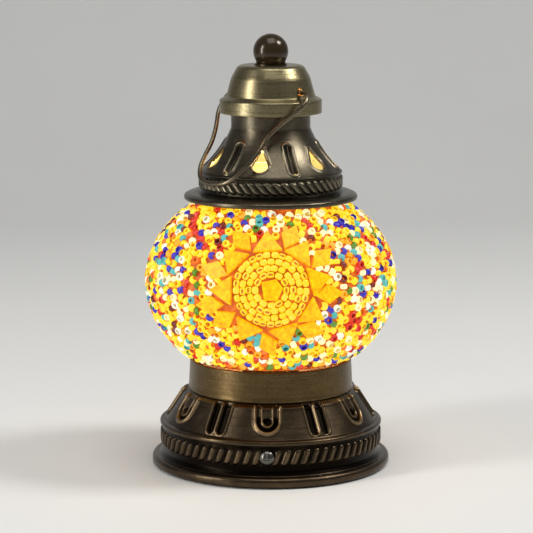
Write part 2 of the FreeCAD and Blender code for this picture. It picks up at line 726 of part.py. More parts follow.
# ---------------------------------------------------------------- hat
hat_shell = turned_body("hat_shell", [
    ("dims.flange_radius - dims.hat_wall", "dims.flange_bottom"),
    ("dims.flange_radius", "dims.flange_bottom"),
    ("dims.flange_radius", "dims.flange_bottom + 1.4"),
    ("dims.flange_radius - 1.8", "dims.flange_top", "1.9", 1),
    ("dims.hat_rope_radius", "dims.hat_rope_bottom"),
    ("dims.hat_rope_radius", "dims.hat_rope_top"),
    ("dims.bell_low_radius", "dims.bell_low"),
    ("dims.neck_radius", "dims.neck_bottom", "dims.bell_curve", -1),
    ("dims.neck_radius", "dims.neck_top"),
    ("dims.neck_radius - dims.hat_wall", "dims.neck_top"),
    ("dims.neck_radius - dims.hat_wall", "dims.neck_bottom"),
    ("dims.bell_low_radius - dims.hat_wall", "dims.bell_low - 0.5",
     "dims.bell_curve + dims.hat_wall", 1),
    ("dims.hat_rope_radius - dims.hat_wall", "dims.hat_rope_top - 0.5"),
    ("dims.hat_rope_radius - dims.hat_wall", "dims.flange_top"),
    ("dims.flange_radius - dims.hat_wall - 0.6", "dims.flange_top - 1.2"),
])
# drop-shaped holes, each a round bore that tapers to a point up the bell
drop_azimuths = [-10 + 60 * k for k in range(6)]
drop_rake = 38
drop_tip_radius = 0.6
for number, azimuth in enumerate(drop_azimuths):
    drop = hat_shell.newObject("PartDesign::SubtractiveCone", f"drop_tip_{number}")
    drop.Radius1 = size_of("drop_hole_radius")
    drop.Radius2 = drop_tip_radius
    drop.setExpression("Height", "dims.drop_hole_length - dims.drop_hole_radius")
    middle = Vector(0, -size_of("drop_hole_distance"), size_of("drop_hole_height"))
    seat = Placement(middle, Rotation(Vector(1, 0, 0), -drop_rake))
    drop.Placement = around(azimuth) * seat
    hat_shell.Tip = drop
    foot = hat_shell.newObject("PartDesign::SubtractiveSphere", f"drop_foot_{number}")
    foot.setExpression("Radius", "dims.drop_hole_radius")
    foot.Placement = around(azimuth) * Placement(middle, Rotation())
    hat_shell.Tip = foot
document.recompute()

hat_bore = "dims.hat_rope_radius - dims.hat_wall - 0.05"
ring_body("hat_seat_ring", "dims.seat_ring_inner", hat_bore,
          "dims.high_lip_top + dims.gasket_thickness",
          "dims.high_lip_top + dims.gasket_thickness + 1")
ring_body("hat_gasket", "dims.high_lip_radius - dims.glass_wall", "dims.high_lip_radius + 0.8",
          "dims.high_lip_top", "dims.high_lip_top + dims.gasket_thickness")

ring_low = size_of("high_lip_top") + size_of("gasket_thickness")
clip_face = size_of("clip_radius")
clip_azimuths = (30, 150, 270)
clips, rivets = [], []
for azimuth in clip_azimuths:
    leaf = box_between((-3.5, -clip_face, ring_low - 12), (3.5, -clip_face + 0.6, ring_low))
    tab = box_between((-3.5, -clip_face, ring_low - 0.6), (3.5, -clip_face + 3.6, ring_low))
    clip = leaf.fuse(tab).removeSplitter()
    rivet_y = -clip_face + 2.2
    rivet_bore = rod_between((0, rivet_y, ring_low - 2), (0, rivet_y, ring_low + 2), 0.8)
    clip = clip.cut(rivet_bore)
    rivet = rod_between((0, rivet_y, ring_low - 1.2), (0, rivet_y, ring_low + 1.7), 0.8)
    rivet = rivet.fuse([rod_between((0, rivet_y, ring_low - 1.3), (0, rivet_y, ring_low - 0.6), 1.4),
                        rod_between((0, rivet_y, ring_low + 1), (0, rivet_y, ring_low + 1.7), 1.4)])
    rivet = rivet.removeSplitter()
    for piece, group in ((clip, clips), (rivet, rivets)):
        piece.Placement = around(azimuth) * piece.Placement
        group.append(piece)
add_made("hat_clips", Part.makeCompound(clips))
add_made("clip_rivets", Part.makeCompound(rivets))
seat_ring = SUB_PARTS[[item.Label for item in SUB_PARTS].index("hat_seat_ring")]
for number, azimuth in enumerate(clip_azimuths):
    bore = seat_ring.newObject("PartDesign::SubtractiveCylinder", f"rivet_bore_{number}")
    bore.Radius = 0.8
    bore.Height = 4
    bore.Placement = around(azimuth) * Placement(Vector(0, -clip_face + 2.2, ring_low - 2),
                                                 Rotation())
    seat_ring.Tip = bore
document.recompute()

# ---------------------------------------------------------------- spider, rod, dome and finial
spider_low = size_of("spider_height")
spider_hub = Part.makeCylinder(5, 1.2, Vector(0, 0, spider_low))
spider_reach = size_of("neck_radius") - size_of("hat_wall") - 0.05
spider_rim = level_ring(spider_reach - 1.4, spider_reach, spider_low, spider_low + 1.2)
arms = []
for azimuth in (0, 120, 240):
    arm = box_between((-2, -spider_reach + 0.7, spider_low), (2, 0, spider_low + 1.2))
    arm.Placement = around(azimuth)
    arms.append(arm)
rod_bore = Part.makeCylinder(size_of("rod_radius") + 0.05, 4, Vector(0, 0, spider_low - 1))
spider = spider_hub.fuse([spider_rim] + arms).cut(rod_bore).removeSplitter()
add_made("hat_spider", spider)

disc_body("threaded_rod", "dims.rod_radius", "dims.rod_bottom", "dims.finial_centre + 1")
hexagon = [Vector(4.1 * cos(radians(60 * k)), 4.1 * sin(radians(60 * k)), spider_low - 3.2)
           for k in range(7)]
nut = Part.Face(Part.makePolygon(hexagon)).extrude(Vector(0, 0, 3.2))
nut = nut.cut(Part.makeCylinder(size_of("rod_radius") + 0.05, 10, Vector(0, 0, spider_low - 5)))
add_made("rod_nut", nut)
ring_body("spacer_tube", "dims.rod_radius + 0.1", "dims.rod_radius + 1.4",
          "dims.spider_height + 1.2", "dims.dome_top - dims.dome_wall")

dome_cap = turned_body("dome_cap", [
    ("dims.rod_radius + 0.1", "dims.dome_top - dims.dome_wall"),
    ("dims.dome_top_radius - 2.4", "dims.dome_top - dims.dome_wall"),
    ("dims.dome_step_radius - dims.dome_wall", "dims.dome_step_top - 0.6",
     "dims.dome_curve - dims.dome_wall", -1),
    ("dims.dome_band_radius - dims.dome_wall", "dims.dome_band_top - 0.6"),
    ("dims.dome_band_radius - dims.dome_wall", "dims.dome_bottom"),
    ("dims.dome_band_radius", "dims.dome_bottom"),
    ("dims.dome_band_radius", "dims.dome_band_top"),
    ("dims.dome_step_radius", "dims.dome_step_top"),
    ("dims.dome_top_radius", "dims.dome_top - 1", "dims.dome_curve", 1),
    ("dims.dome_top_radius - 2", "dims.dome_top", "2", 1),
    ("dims.rod_radius + 0.1", "dims.dome_top"),
])
radial_holes(dome_cap, "dims.bail_hole_radius", "bail_pivot_height",
             (size_of("bail_azimuth"), size_of("bail_azimuth") + 180), "dims.dome_band_radius")

ring_body("finial_washer", "dims.rod_radius + 0.1", "dims.finial_foot_radius + 0.5",
          "dims.dome_top", "dims.dome_top + dims.washer_thickness")
turned_body("finial_ball", [
    ("dims.rod_radius + 0.05", "dims.dome_top + dims.washer_thickness"),
    ("dims.finial_foot_radius", "dims.dome_top + dims.washer_thickness"),
    ("dims.finial_foot_radius", "dims.finial_centre - 4.13"),
    ("dims.finial_radius", "dims.finial_centre", "dims.finial_radius", 1),
    ("0", "dims.finial_centre + dims.finial_radius", "dims.finial_radius", 1),
    ("0", "dims.finial_centre + 1.1"),
    ("dims.rod_radius + 0.05", "dims.finial_centre + 1.1"),
])

# ---------------------------------------------------------------- check and write
document.recompute()
for item in document.Objects:
    if {"Invalid", "Error"} & set(item.State):
        raise RuntimeError(f"{item.Label}: {item.State}")
for item in SUB_PARTS:
    shape = item.Shape
    if shape.isNull() or not shape.isValid() or not shape.Solids:
        raise RuntimeError(f"{item.Label} has no sound shape")
for item in SUB_PARTS:
    item.Shape.exportStep(f"parts/{item.Label}.step")
print(len(SUB_PARTS), "sub-parts written")
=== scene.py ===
"""Looks of the mosaic glass table lamp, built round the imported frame.

Sizes in this file are millimetres unless a name says otherwise; mm() turns them into metres.
Azimuth is in degrees round +Z from the front (-Y), positive towards +X.
"""

import json
from itertools import product
from math import asin, atan2, cos, degrees, pi, radians, sin, sqrt, tan

import bmesh
import bpy
import numpy as np
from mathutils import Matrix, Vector
from mathutils.kdtree import KDTree


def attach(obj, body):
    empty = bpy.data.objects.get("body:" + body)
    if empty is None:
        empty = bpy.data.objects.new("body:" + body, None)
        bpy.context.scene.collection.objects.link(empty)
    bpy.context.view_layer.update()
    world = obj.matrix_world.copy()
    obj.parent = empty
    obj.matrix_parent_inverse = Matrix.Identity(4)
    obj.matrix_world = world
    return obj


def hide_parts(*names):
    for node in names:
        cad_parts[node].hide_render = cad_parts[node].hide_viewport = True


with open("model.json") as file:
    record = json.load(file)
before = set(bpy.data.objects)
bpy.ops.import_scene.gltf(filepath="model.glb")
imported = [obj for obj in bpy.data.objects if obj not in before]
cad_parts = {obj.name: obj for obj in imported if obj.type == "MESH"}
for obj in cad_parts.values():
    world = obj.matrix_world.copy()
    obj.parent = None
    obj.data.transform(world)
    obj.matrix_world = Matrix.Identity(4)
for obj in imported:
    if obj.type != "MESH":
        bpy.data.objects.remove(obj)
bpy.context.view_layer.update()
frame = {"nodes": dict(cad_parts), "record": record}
MM = 0.001
scene = bpy.context.scene
random = np.random.default_rng(29)


# ---------------------------------------------------------------- meshes
def new_mesh(name, points, faces, body, material, values=None):
    """An object from points in millimetres and faces of three or four corners."""
    mesh = bpy.data.meshes.new(name)
    points = np.asarray(points, np.float32) * MM
    faces = np.asarray(faces, np.int32)
    corners = faces.shape[1]
    mesh.vertices.add(len(points))
    mesh.vertices.foreach_set("co", points.ravel())
    mesh.loops.add(faces.size)
    mesh.loops.foreach_set("vertex_index", faces.ravel())
    mesh.polygons.add(len(faces))
    mesh.polygons.foreach_set("loop_start", np.arange(0, faces.size, corners, dtype=np.int32))
    mesh.polygons.foreach_set("use_smooth", np.ones(len(faces), bool))
    mesh.update(calc_edges=True)
    for key, numbers in (values or {}).items():
        layer = mesh.attributes.new(key, "FLOAT", "POINT")
        layer.data.foreach_set("value", np.asarray(numbers, np.float32))
    mesh.validate()
    piece = bpy.data.objects.new(name, mesh)
    scene.collection.objects.link(piece)
    mesh.materials.append(material)
    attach(piece, body)
    return piece


def grid_faces(rows, columns, wrap_rows=True, wrap_columns=True):
    """Four-cornered faces of a grid of points stored row by row."""
    row = np.arange(rows if wrap_rows else rows - 1)
    column = np.arange(columns if wrap_columns else columns - 1)
    row, column = np.meshgrid(row, column, indexing="ij")
    next_row, next_column = (row + 1) % rows, (column + 1) % columns
    corners = [row * columns + column, row * columns + next_column,
               next_row * columns + next_column, next_row * columns + column]
    return np.stack([c.ravel() for c in corners], axis=1)


def halved(faces):
    """Four-cornered faces as triangles."""
    return np.concatenate([faces[:, [0, 1, 2]], faces[:, [0, 2, 3]]])


def fan(start, sides, tip, way=1):
    """Triangles from a ring of points to a tip; way -1 turns them over."""
    ring = np.arange(sides)
    pair = [start + ring, start + (ring + 1) % sides][::way]
    return np.stack(pair + [np.full(sides, tip)], axis=1)


def rounded(corners, spacing, closed=True):
    """Points along an outline of (radius, height, fillet), evenly spaced, with round fillets."""
    count = len(corners)
    path = []
    for index, (r, z, fillet) in enumerate(corners):
        here = np.array((r, z), float)
        inner = closed or 0 < index < count - 1
        if not fillet or not inner:
            path.append(here)
            continue
        before = np.array(corners[index - 1][:2], float) - here
        after = np.array(corners[(index + 1) % count][:2], float) - here
        before /= np.linalg.norm(before)
        after /= np.linalg.norm(after)
        half = np.arccos(np.clip(before @ after, -1, 1)) / 2
        setback = fillet / np.tan(half)
        start, end = here + before * setback, here + after * setback
        steps = max(2, int(np.ceil((pi - 2 * half) * fillet / spacing)))
        middle = here + (before + after) / np.linalg.norm(before + after) * fillet / np.sin(half)
        first = atan2(*(start - middle)[::-1])
        sweep = atan2(*(end - middle)[::-1]) - first
        sweep = (sweep + pi) % (2 * pi) - pi
        for step in range(steps + 1):
            angle = first + sweep * step / steps
            path.append(middle + fillet * np.array((cos(angle), sin(angle))))
    path = np.array(path)
    ends = np.roll(path, -1, axis=0) if closed else path[1:]
    starts = path if closed else path[:-1]
    points = []
    for start, end in zip(starts, ends):
        steps = max(1, int(np.ceil(np.linalg.norm(end - start) / spacing)))
        share = np.arange(steps)[:, None] / steps
        points.append(start + (end - start) * share)
    points = np.concatenate(points)
    return points if closed else np.vstack([points, path[-1]])


def outward(profile):
    """Unit normals of a profile whose outline runs up its outer side."""
    along = np.roll(profile, -1, axis=0) - np.roll(profile, 1, axis=0)
    along /= np.maximum(np.linalg.norm(along, axis=1), 1e-9)[:, None]
    return np.stack([along[:, 1], -along[:, 0]], axis=1)


def turned(name, profile, body, material, columns=256, relief=None, skin=None,
           painted_shade_bands=(), lit_above=0.0):
    """A turned piece; relief(azimuth, radius, height, skin) raises its surface in millimetres.

    The skin is 1 for rows of the profile on its outer side and -1 for rows on its inner side.
    Bands of painted shade are (low, high, depth): heights whose relief value is lowered by that
    depth.
    The inner side can carry a painted glow, standing in for the bulb's light, from a little above
    the height lit_above.
    """
    azimuth = np.arange(columns) * 360 / columns
    raised = np.zeros((len(profile), columns))
    if relief is not None:
        raised = relief(azimuth[None, :], profile[:, 0][:, None], profile[:, 1][:, None],
                        skin[:, None])
    normal = outward(profile)
    r = profile[:, 0][:, None] + normal[:, 0][:, None] * raised
    z = profile[:, 1][:, None] + normal[:, 1][:, None] * raised
    turn = np.radians(azimuth)[None, :]
    points = np.stack([r * np.sin(turn), -r * np.cos(turn), z + 0 * turn], axis=2)
    faces = grid_faces(len(profile), columns)
    shade = raised.copy()
    # Painted shade: rows within each band are darkened by its depth.
    for low, high, depth in painted_shade_bands:
        inside = (profile[:, 1] > low) & (profile[:, 1] < high)
        shade[inside] -= depth
    values = {"relief": shade.ravel()}
    # The inside value masks the inner skin, fading in above lit_above, for a painted glow of the
    # bulb's light.
    if skin is not None:
        fade_in = np.clip((profile[:, 1] - lit_above) / 4, 0, 1)
        values["inside"] = np.repeat(np.clip(-skin, 0, 1) * fade_in, columns)
    return new_mesh(name, points.reshape(-1, 3), faces, body, material, values)


def bump(distance, width):
    """A smooth bump of height 1 that falls to 0 at width."""
    share = np.clip(np.abs(distance) / width, 0, 1)
    return (1 - share ** 2) ** 2


def step_down(distance, width):
    """1 inside, falling smoothly to 0 as a signed distance passes 0 over width."""
    share = np.clip(0.5 - distance / width, 0, 1)
    return share * share * (3 - 2 * share)


def capsule(x, y, low, high):
    """Distance from the straight stroke x = 0, low <= y <= high."""
    return np.hypot(x, y - np.clip(y, low, high))


def wrapped(azimuth, period):
    """Azimuth folded into half a period either side of 0."""
    return (azimuth + period / 2) % period - period / 2


# ---------------------------------------------------------------- materials
FINISHES = {}


def node_material(name):
    made = bpy.data.materials.new(name)
    FINISHES[name] = made
    made.use_nodes = True
    tree = made.node_tree
    shader = tree.nodes["Principled BSDF"]
    return made, tree, shader


def feed(source, shader, socket):
    shader.id_data.links.new(source, shader.inputs[socket])


def set_up(shader, **values):
    """Plain values for a shader's sockets; an underscore stands for a space."""
    for key, value in values.items():
        shader.inputs[key.replace("_", " ")].default_value = value


def add_node(tree, kind, **settings):
    node = tree.nodes.new(kind)
    for key, value in settings.items():
        if key in node.inputs:
            node.inputs[key].default_value = value
        else:
            setattr(node, key, value)
    return node


def ramp(tree, source, stops):
    node = tree.nodes.new("ShaderNodeValToRGB")
    while len(node.color_ramp.elements) < len(stops):
        node.color_ramp.elements.new(0.5)
    for element, (place, colour) in zip(node.color_ramp.elements, stops):
        element.position = place
        element.color = (*colour, 1)
    feed(source, node, "Fac")
    return node.outputs["Color"]


def blend_colours(tree, share, first, second, kind="MIX"):
    node = tree.nodes.new("ShaderNodeMix")
    node.data_type = "RGBA"
    node.blend_type = kind
    for socket, value in ((node.inputs[0], share), (node.inputs[6], first),
                          (node.inputs[7], second)):
        if isinstance(value, bpy.types.NodeSocket):
            tree.links.new(value, socket)
        elif isinstance(value, (int, float)):
            socket.default_value = value
        else:
            socket.default_value = (*value, 1)
    return node.outputs[2]


def arithmetic(tree, kind, *values):
    node = tree.nodes.new("ShaderNodeMath")
    node.operation = kind
    for socket, value in zip(node.inputs, values):
        if isinstance(value, bpy.types.NodeSocket):
            tree.links.new(value, socket)
        else:
            socket.default_value = value
    return node.outputs[0]


def noise(tree, scale, detail=3.0, stretch=None, roughness=0.5):
    """Noise over the object's own coordinates; stretch scales them axis by axis."""
    place = tree.nodes.new("ShaderNodeTexCoord")
    source = place.outputs["Object"]
    if stretch:
        mapping = add_node(tree, "ShaderNodeMapping", Scale=stretch)
        feed(source, mapping, "Vector")
        source = mapping.outputs["Vector"]
    node = add_node(tree, "ShaderNodeTexNoise", Scale=scale, Detail=detail, Roughness=roughness)
    feed(source, node, "Vector")
    return node.outputs["Fac"]


def bump_into(tree, shader, height, strength, distance):
    node = add_node(tree, "ShaderNodeBump", Strength=strength, Distance=distance)
    feed(height, node, "Height")
    feed(node.outputs["Normal"], shader, "Normal")


def lit_from_behind(tree, shader, colour, glow):
    """Lets a colour glow through, with a darker body so that studio light doesn't wash it out."""
    feed(blend_colours(tree, 1.0, colour, (0.3, 0.3, 0.3), "MULTIPLY"), shader, "Base Color")
    feed(colour, shader, "Emission Color")
    set_up(shader, Emission_Strength=glow)


def aged_brass(name, low, middle, high, brush, shine, lit_inside=None):
    """Antiqued brass: dark patina in the recesses and painted shade where bands lower the relief
    value, rubbed bright on the raised work, brushed round.

    A piece that hangs over the bulb can have painted light on its inner skin: a glow in the colour
    lit_inside, standing in for the bulb's light.
    """
    made, tree, shader = node_material(name)
    # The relief value gives patina in recesses, wear on raised work, and painted shade in the bands
    # lowered by turned.
    relief = add_node(tree, "ShaderNodeAttribute", attribute_name="relief").outputs["Fac"]
    cloud = noise(tree, 140, 4)
    fine = noise(tree, 900, 2)
    lifted = arithmetic(tree, "MULTIPLY_ADD", relief, 0.34, 0.36)
    height = arithmetic(tree, "ADD", lifted, arithmetic(tree, "MULTIPLY", cloud, 0.26))
    colour = ramp(tree, height, ((0.14, low), (0.50, middle), (0.92, high)))
    speck = ramp(tree, fine, ((0.36, (0.62, 0.58, 0.52)), (0.62, (1, 1, 1))))
    streaks = noise(tree, 1.0, 3, (30, 30, 2600), 0.7)
    streaked = ramp(tree, streaks, ((0.35, (0.72, 0.70, 0.66)), (0.65, (1, 1, 1))))
    worn = blend_colours(tree, 0.5, colour, speck, "MULTIPLY")
    feed(blend_colours(tree, min(1, 2 * brush), worn, streaked, "MULTIPLY"), shader, "Base Color")
    set_up(shader, Metallic=1.0)
    feed(arithmetic(tree, "MULTIPLY_ADD", streaks, 0.22, shine), shader, "Roughness")
    bump_into(tree, shader, streaks, brush, 0.00012)
    # Painted light: the inner skin glows, standing in for the bulb's light falling on it.
    if lit_inside:
        inside = add_node(tree, "ShaderNodeAttribute", attribute_name="inside").outputs["Fac"]
        glow = ramp(tree, cloud, ((0.3, tuple(c * 0.72 for c in lit_inside)), (0.7, lit_inside)))
        feed(blend_colours(tree, inside, (0, 0, 0), glow), shader, "Emission Color")
        set_up(shader, Emission_Strength=1.0)
    return made


def plain_finish(name, colour, rough, metallic=0.0, grain=0.15, scale=900):
    """A moulded or plated finish with a slight mottling of colour and surface."""
    made, tree, shader = node_material(name)
    cloud = noise(tree, scale / 6, 3)
    fine = noise(tree, scale, 3)
    darker = tuple(c * 0.78 for c in colour)
    feed(ramp(tree, cloud, ((0.35, darker), (0.65, colour))), shader, "Base Color")
    feed(arithmetic(tree, "MULTIPLY_ADD", fine, 0.16, rough - 0.08), shader, "Roughness")
    set_up(shader, Metallic=metallic)
    bump_into(tree, shader, fine, grain, 0.0001)
    return made


def glowing_glass(name, dark, light, glow, scale=500):
    """Coloured glass lit from behind, with painted shade: darker towards its edges and where its
    brightness attribute is low.
    """
    made, tree, shader = node_material(name)
    # The brightness attribute holds painted shade in the bead bores and on the rosette beads' inner
    # faces, and a random lift for each bead.
    tone_and_shade = add_node(tree, "ShaderNodeAttribute", attribute_name="tone_and_shade").outputs["Fac"]
    cloud = noise(tree, scale, 2)
    # Painted shade: the glow falls off towards the edges.
    edge = add_node(tree, "ShaderNodeLayerWeight", Blend=0.42).outputs["Facing"]
    share = arithmetic(tree, "ADD", arithmetic(tree, "MULTIPLY", tone_and_shade, 0.85),
                       arithmetic(tree, "MULTIPLY", cloud, 0.36))
    share = arithmetic(tree, "SUBTRACT", share, arithmetic(tree, "MULTIPLY", edge, 0.55))
    pale = tuple(min(1, c + 0.06) for c in light)
    colour = ramp(tree, share, ((0.10, dark), (0.55, light), (1.0, pale)))
    lit_from_behind(tree, shader, colour, glow)
    set_up(shader, Roughness=0.14, Specular_IOR_Level=0.4)
    return made


def tile_glass(name):
    """Hand-rolled yellow sheet glass with seeds and a rippled face, lit from behind."""
    made, tree, shader = node_material(name)
    ripple = noise(tree, 420, 4, roughness=0.65)
    seed = noise(tree, 1500, 3)
    mixed = arithmetic(tree, "ADD", arithmetic(tree, "MULTIPLY", ripple, 0.7),
                       arithmetic(tree, "MULTIPLY", seed, 0.3))
    # Painted shade: the glow darkens towards the edges of the glass.
    edge = add_node(tree, "ShaderNodeLayerWeight", Blend=0.3).outputs["Facing"]
    mixed = arithmetic(tree, "SUBTRACT", mixed, arithmetic(tree, "MULTIPLY", edge, 0.3))
    colour = ramp(tree, mixed, ((0.22, (0.62, 0.20, 0.002)), (0.38, (0.88, 0.41, 0.002)),
                                (0.5, (0.95, 0.55, 0.003)), (0.62, (1.0, 0.70, 0.008))))
    lit_from_behind(tree, shader, colour, 0.92)
    set_up(shader, Specular_IOR_Level=0.25, Roughness=0.35)
    bump_into(tree, shader, mixed, 0.5, 0.0004)
    return made


def grout_finish(name):
    made, tree, shader = node_material(name)
    cloud = noise(tree, 260, 4)
    colour = ramp(tree, cloud, ((0.3, (0.40, 0.045, 0.004)), (0.55, (0.74, 0.13, 0.012)),
                                (0.75, (0.90, 0.25, 0.03))))
    lit_from_behind(tree, shader, colour, 0.85)
    set_up(shader, Roughness=0.6)
    bump_into(tree, shader, noise(tree, 1400, 3), 0.4, 0.0003)
    return made


DARK_BRASS = aged_brass("antique_brass", (0.007, 0.005, 0.0035), (0.088, 0.064, 0.040),
                        (0.50, 0.345, 0.185), 0.25, 0.20)
# The hat's inner skin gets a painted pale-yellow glow standing in for the bulb's light.
HAT_BRASS = aged_brass("hat_brass", (0.012, 0.010, 0.007), (0.125, 0.108, 0.076),
                       (0.44, 0.38, 0.27), 0.25, 0.20, (1.0, 0.78, 0.22))
COLLAR_BRASS = aged_brass("collar_brass", (0.05, 0.032, 0.013), (0.155, 0.106, 0.048),
                          (0.38, 0.27, 0.135), 0.5, 0.22)
# The dome's inner skin gets a painted orange glow standing in for the bulb's light coming up the
# neck.
LIGHT_BRASS = aged_brass("brushed_brass", (0.10, 0.085, 0.045), (0.33, 0.285, 0.165),
                         (0.60, 0.54, 0.36), 0.45, 0.20, (0.95, 0.22, 0.012))
BRONZE = plain_finish("finial_bronze", (0.042, 0.026, 0.010), 0.2, 0.3, 0.1)
WIRE = aged_brass("bail_wire", (0.05, 0.04, 0.025), (0.20, 0.17, 0.115), (0.6, 0.5, 0.32),
                  0.2, 0.18)
plain_finish("steel", (0.52, 0.52, 0.53), 0.32, 1.0, 0.2)
DARK_STEEL = plain_finish("screw_steel", (0.15, 0.145, 0.13), 0.28, 1.0, 0.1)
plain_finish("nickel", (0.70, 0.68, 0.64), 0.2, 1.0, 0.1)
plain_finish("black_plastic", (0.022, 0.022, 0.024), 0.5, 0.0, 0.6, 2400)
plain_finish("white_plastic", (0.80, 0.79, 0.75), 0.42, 0.0, 0.2)
plain_finish("cell_sleeve", (0.06, 0.16, 0.13), 0.28, 0.0, 0.1)
plain_finish("wire_sleeve", (0.45, 0.03, 0.02), 0.5, 0.0, 0.1)
plain_finish("felt", (0.07, 0.055, 0.045), 0.95, 0.0, 1.0, 3000)
TILE = tile_glass("tile_glass")
GROUT = grout_finish("amber_grout")


def clear_glass(name):
    made, tree, shader = node_material(name)
    set_up(shader, Base_Color=(0.98, 0.95, 0.88, 1), Transmission_Weight=1.0, IOR=1.5,
           Roughness=0.03)
    bump_into(tree, shader, noise(tree, 60, 2), 0.1, 0.0005)
    return made


def lit_plastic(name, colour, glow):
    made, tree, shader = node_material(name)
    cloud = noise(tree, 120, 2)
    tint = ramp(tree, cloud, ((0.3, tuple(c * 0.9 for c in colour)), (0.7, colour)))
    feed(tint, shader, "Base Color")
    feed(tint, shader, "Emission Color")
    set_up(shader, Emission_Strength=glow, Roughness=0.35)
    return made


GLASS = clear_glass("clear_glass")
lit_plastic("opal_plastic", (1.0, 0.72, 0.34), 6.0)
lit_plastic("led_phosphor", (1.0, 0.75, 0.25), 8.0)

# Most finishes are named after the slot they fill.
FINISHES["bead_glass"] = TILE
for entry in frame["record"]["subparts"]:
    node = frame["nodes"][entry["node"]]
    node.data.materials.clear()
    node.data.materials.append(FINISHES[entry["material_slot"]])
frame["nodes"]["side_screws"].data.materials[0] = DARK_STEEL

# ---------------------------------------------------------------- stamped base
BASE_COLUMNS = 864
SKIRT_FOOT = (50.4, 21.9)
SKIRT_TOP = (42.9, 33.8)
ROPE_FLOOR = 52.1
STAMP_AZIMUTH = -2
STAMP_PERIOD = 60
ROPE_RIDGES = 72


def rope(azimuth, height, radius, low, high, count, slant, width, rise):
    """A band of slanted ridges with rounded ends."""
    period = 360 / count
    middle = (low + high) / 2
    lean = degrees(tan(radians(slant)) / radius)
    across = radians(1) * radius * wrapped(azimuth - lean * (height - middle), period)
    across = across * cos(radians(slant))
    along = (height - middle) / cos(radians(slant))
    reach = (high - low) / 2 - width
    apart = capsule(across, along, -reach, reach)
    ridge = np.sqrt(np.clip(1 - (apart / width) ** 2, 0, 1))
    inside = (height > low - 1) & (height < high + 1)
    return rise * ridge * inside


def up_skirt(radius, height):
    """Distance up the skirt's slope from its foot, and how nearly a point lies on the slope."""
    slope = np.array(SKIRT_TOP) - np.array(SKIRT_FOOT)
    length = np.linalg.norm(slope)
    slope = slope / length
    dr, dz = radius - SKIRT_FOOT[0], height - SKIRT_FOOT[1]
    along = dr * slope[0] + dz * slope[1]
    away = dr * slope[1] - dz * slope[0]
    return along, np.abs(away)


def horseshoe(x, y):
    """A stamped horseshoe, open at the top, with an inner lip round a centre dimple."""
    centre = 8.9
    ring = np.where(y < centre, np.hypot(x, y - centre), np.abs(x))
    shape = 0.85 * bump(ring - 5.9, 1.35)
    low_part = np.clip(1 - (y - centre - 1) / 3, 0.3, 1)
    shape = shape - 1.15 * low_part * step_down(np.abs(ring - 4.0) - 0.75, 0.9)
    shape = shape + 0.35 * bump(ring - 2.6, 0.8)
    return shape - 1.6 * step_down(np.hypot(x, y - centre - 0.3) - 1.7, 0.9)


def flutes(x, y):
    """Two parallel sunk flutes with raised lips."""
    shape = 0
    for side in (-1, 1):
        apart = capsule(x - side * 2.75, y, 3.2, 17)
        shape = shape - 1.45 * step_down(apart - 1.55, 1.0)
        shape = shape + 0.5 * bump(apart - 2.6, 0.75)
    return shape


def base_relief(azimuth, radius, height, skin):
    """Rope band, left plain round its three screws, and the stamped skirt."""
    azimuth = azimuth - STAMP_AZIMUTH
    raised = rope(azimuth, height, ROPE_FLOOR, 9.9, 17.8, ROPE_RIDGES, 20, 1.55, 1.1)
    raised = raised * (np.abs(wrapped(azimuth, 120)) > 2.6)
    raised = raised * (radius > ROPE_FLOOR - 0.4) * (skin > 0)
    up, away = up_skirt(radius, height)
    on_skirt = (up > 0.2) & (away < 3.4) & (height > SKIRT_FOOT[1] + 0.1) & (radius < 50.6)
    level = radians(1) * np.clip(radius, 38, 51)
    stamped = horseshoe(level * wrapped(azimuth, STAMP_PERIOD), up)
    stamped = stamped + flutes(level * wrapped(azimuth - STAMP_PERIOD / 2, STAMP_PERIOD), up)
    fade = np.clip((radius - 39.9) / 1.2, 0, 1)
    near = np.clip((up - 0.4) / 1.2, 0, 1)
    return raised + stamped * on_skirt * fade * near * skin


BASE_OUTSIDE = rounded([
    (51.9, 0, 0), (54.2, 0, 1.2), (57.1, 0.5, 2.1), (57.1, 5.1, 2.1), (53.6, 5.1, 0.9),
    (52.2, 7.2, 1.6), (ROPE_FLOOR, 9.0, 0.4), (ROPE_FLOOR, 18.6, 0.6), (51.2, 19.2, 0.4),
    (53.3, 19.4, 0.9), (53.3, 21.5, 0.9), (50.8, 21.8, 0.3), (SKIRT_FOOT[0], 22.2, 0.3),
    (SKIRT_TOP[0], SKIRT_TOP[1], 0.5), (42.2, 35.1, 0.9), (39.9, 36.3, 0.5), (39.2, 36.6, 0),
    (36.6, 36.6, 0)], 0.36, closed=False)
BASE_INSIDE = rounded([
    (36.6, 35.5, 0), (39.6, 35.3, 0.6), (41.2, 33.8, 0.6), (48.4, 22.4, 0.6),
    (49.6, 19.6, 0.6), (51.0, 17.0, 0.5), (51.2, 9.0, 0.5), (51.4, 0.4, 0)], 0.36, closed=False)


def two_skins(outside, inside):
    """One closed profile from an outer and an inner outline, and the skin of each row."""
    skin = np.concatenate([np.ones(len(outside)), -np.ones(len(inside))])
    return np.concatenate([outside, inside]), skin


base_profile, base_skin = two_skins(BASE_OUTSIDE, BASE_INSIDE)
# Painted shade darkens the cove, the rope band, the groove above it and the crease at the skirt's
# foot.
base_shell = turned("base_stamping", base_profile, "base", DARK_BRASS,
                    BASE_COLUMNS, base_relief, base_skin,
                    ((5.3, 9.8, 1.3), (9.8, 18.6, 0.95), (18.6, 19.5, 0.9), (21.7, 22.4, 0.5)))
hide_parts("base_shell")

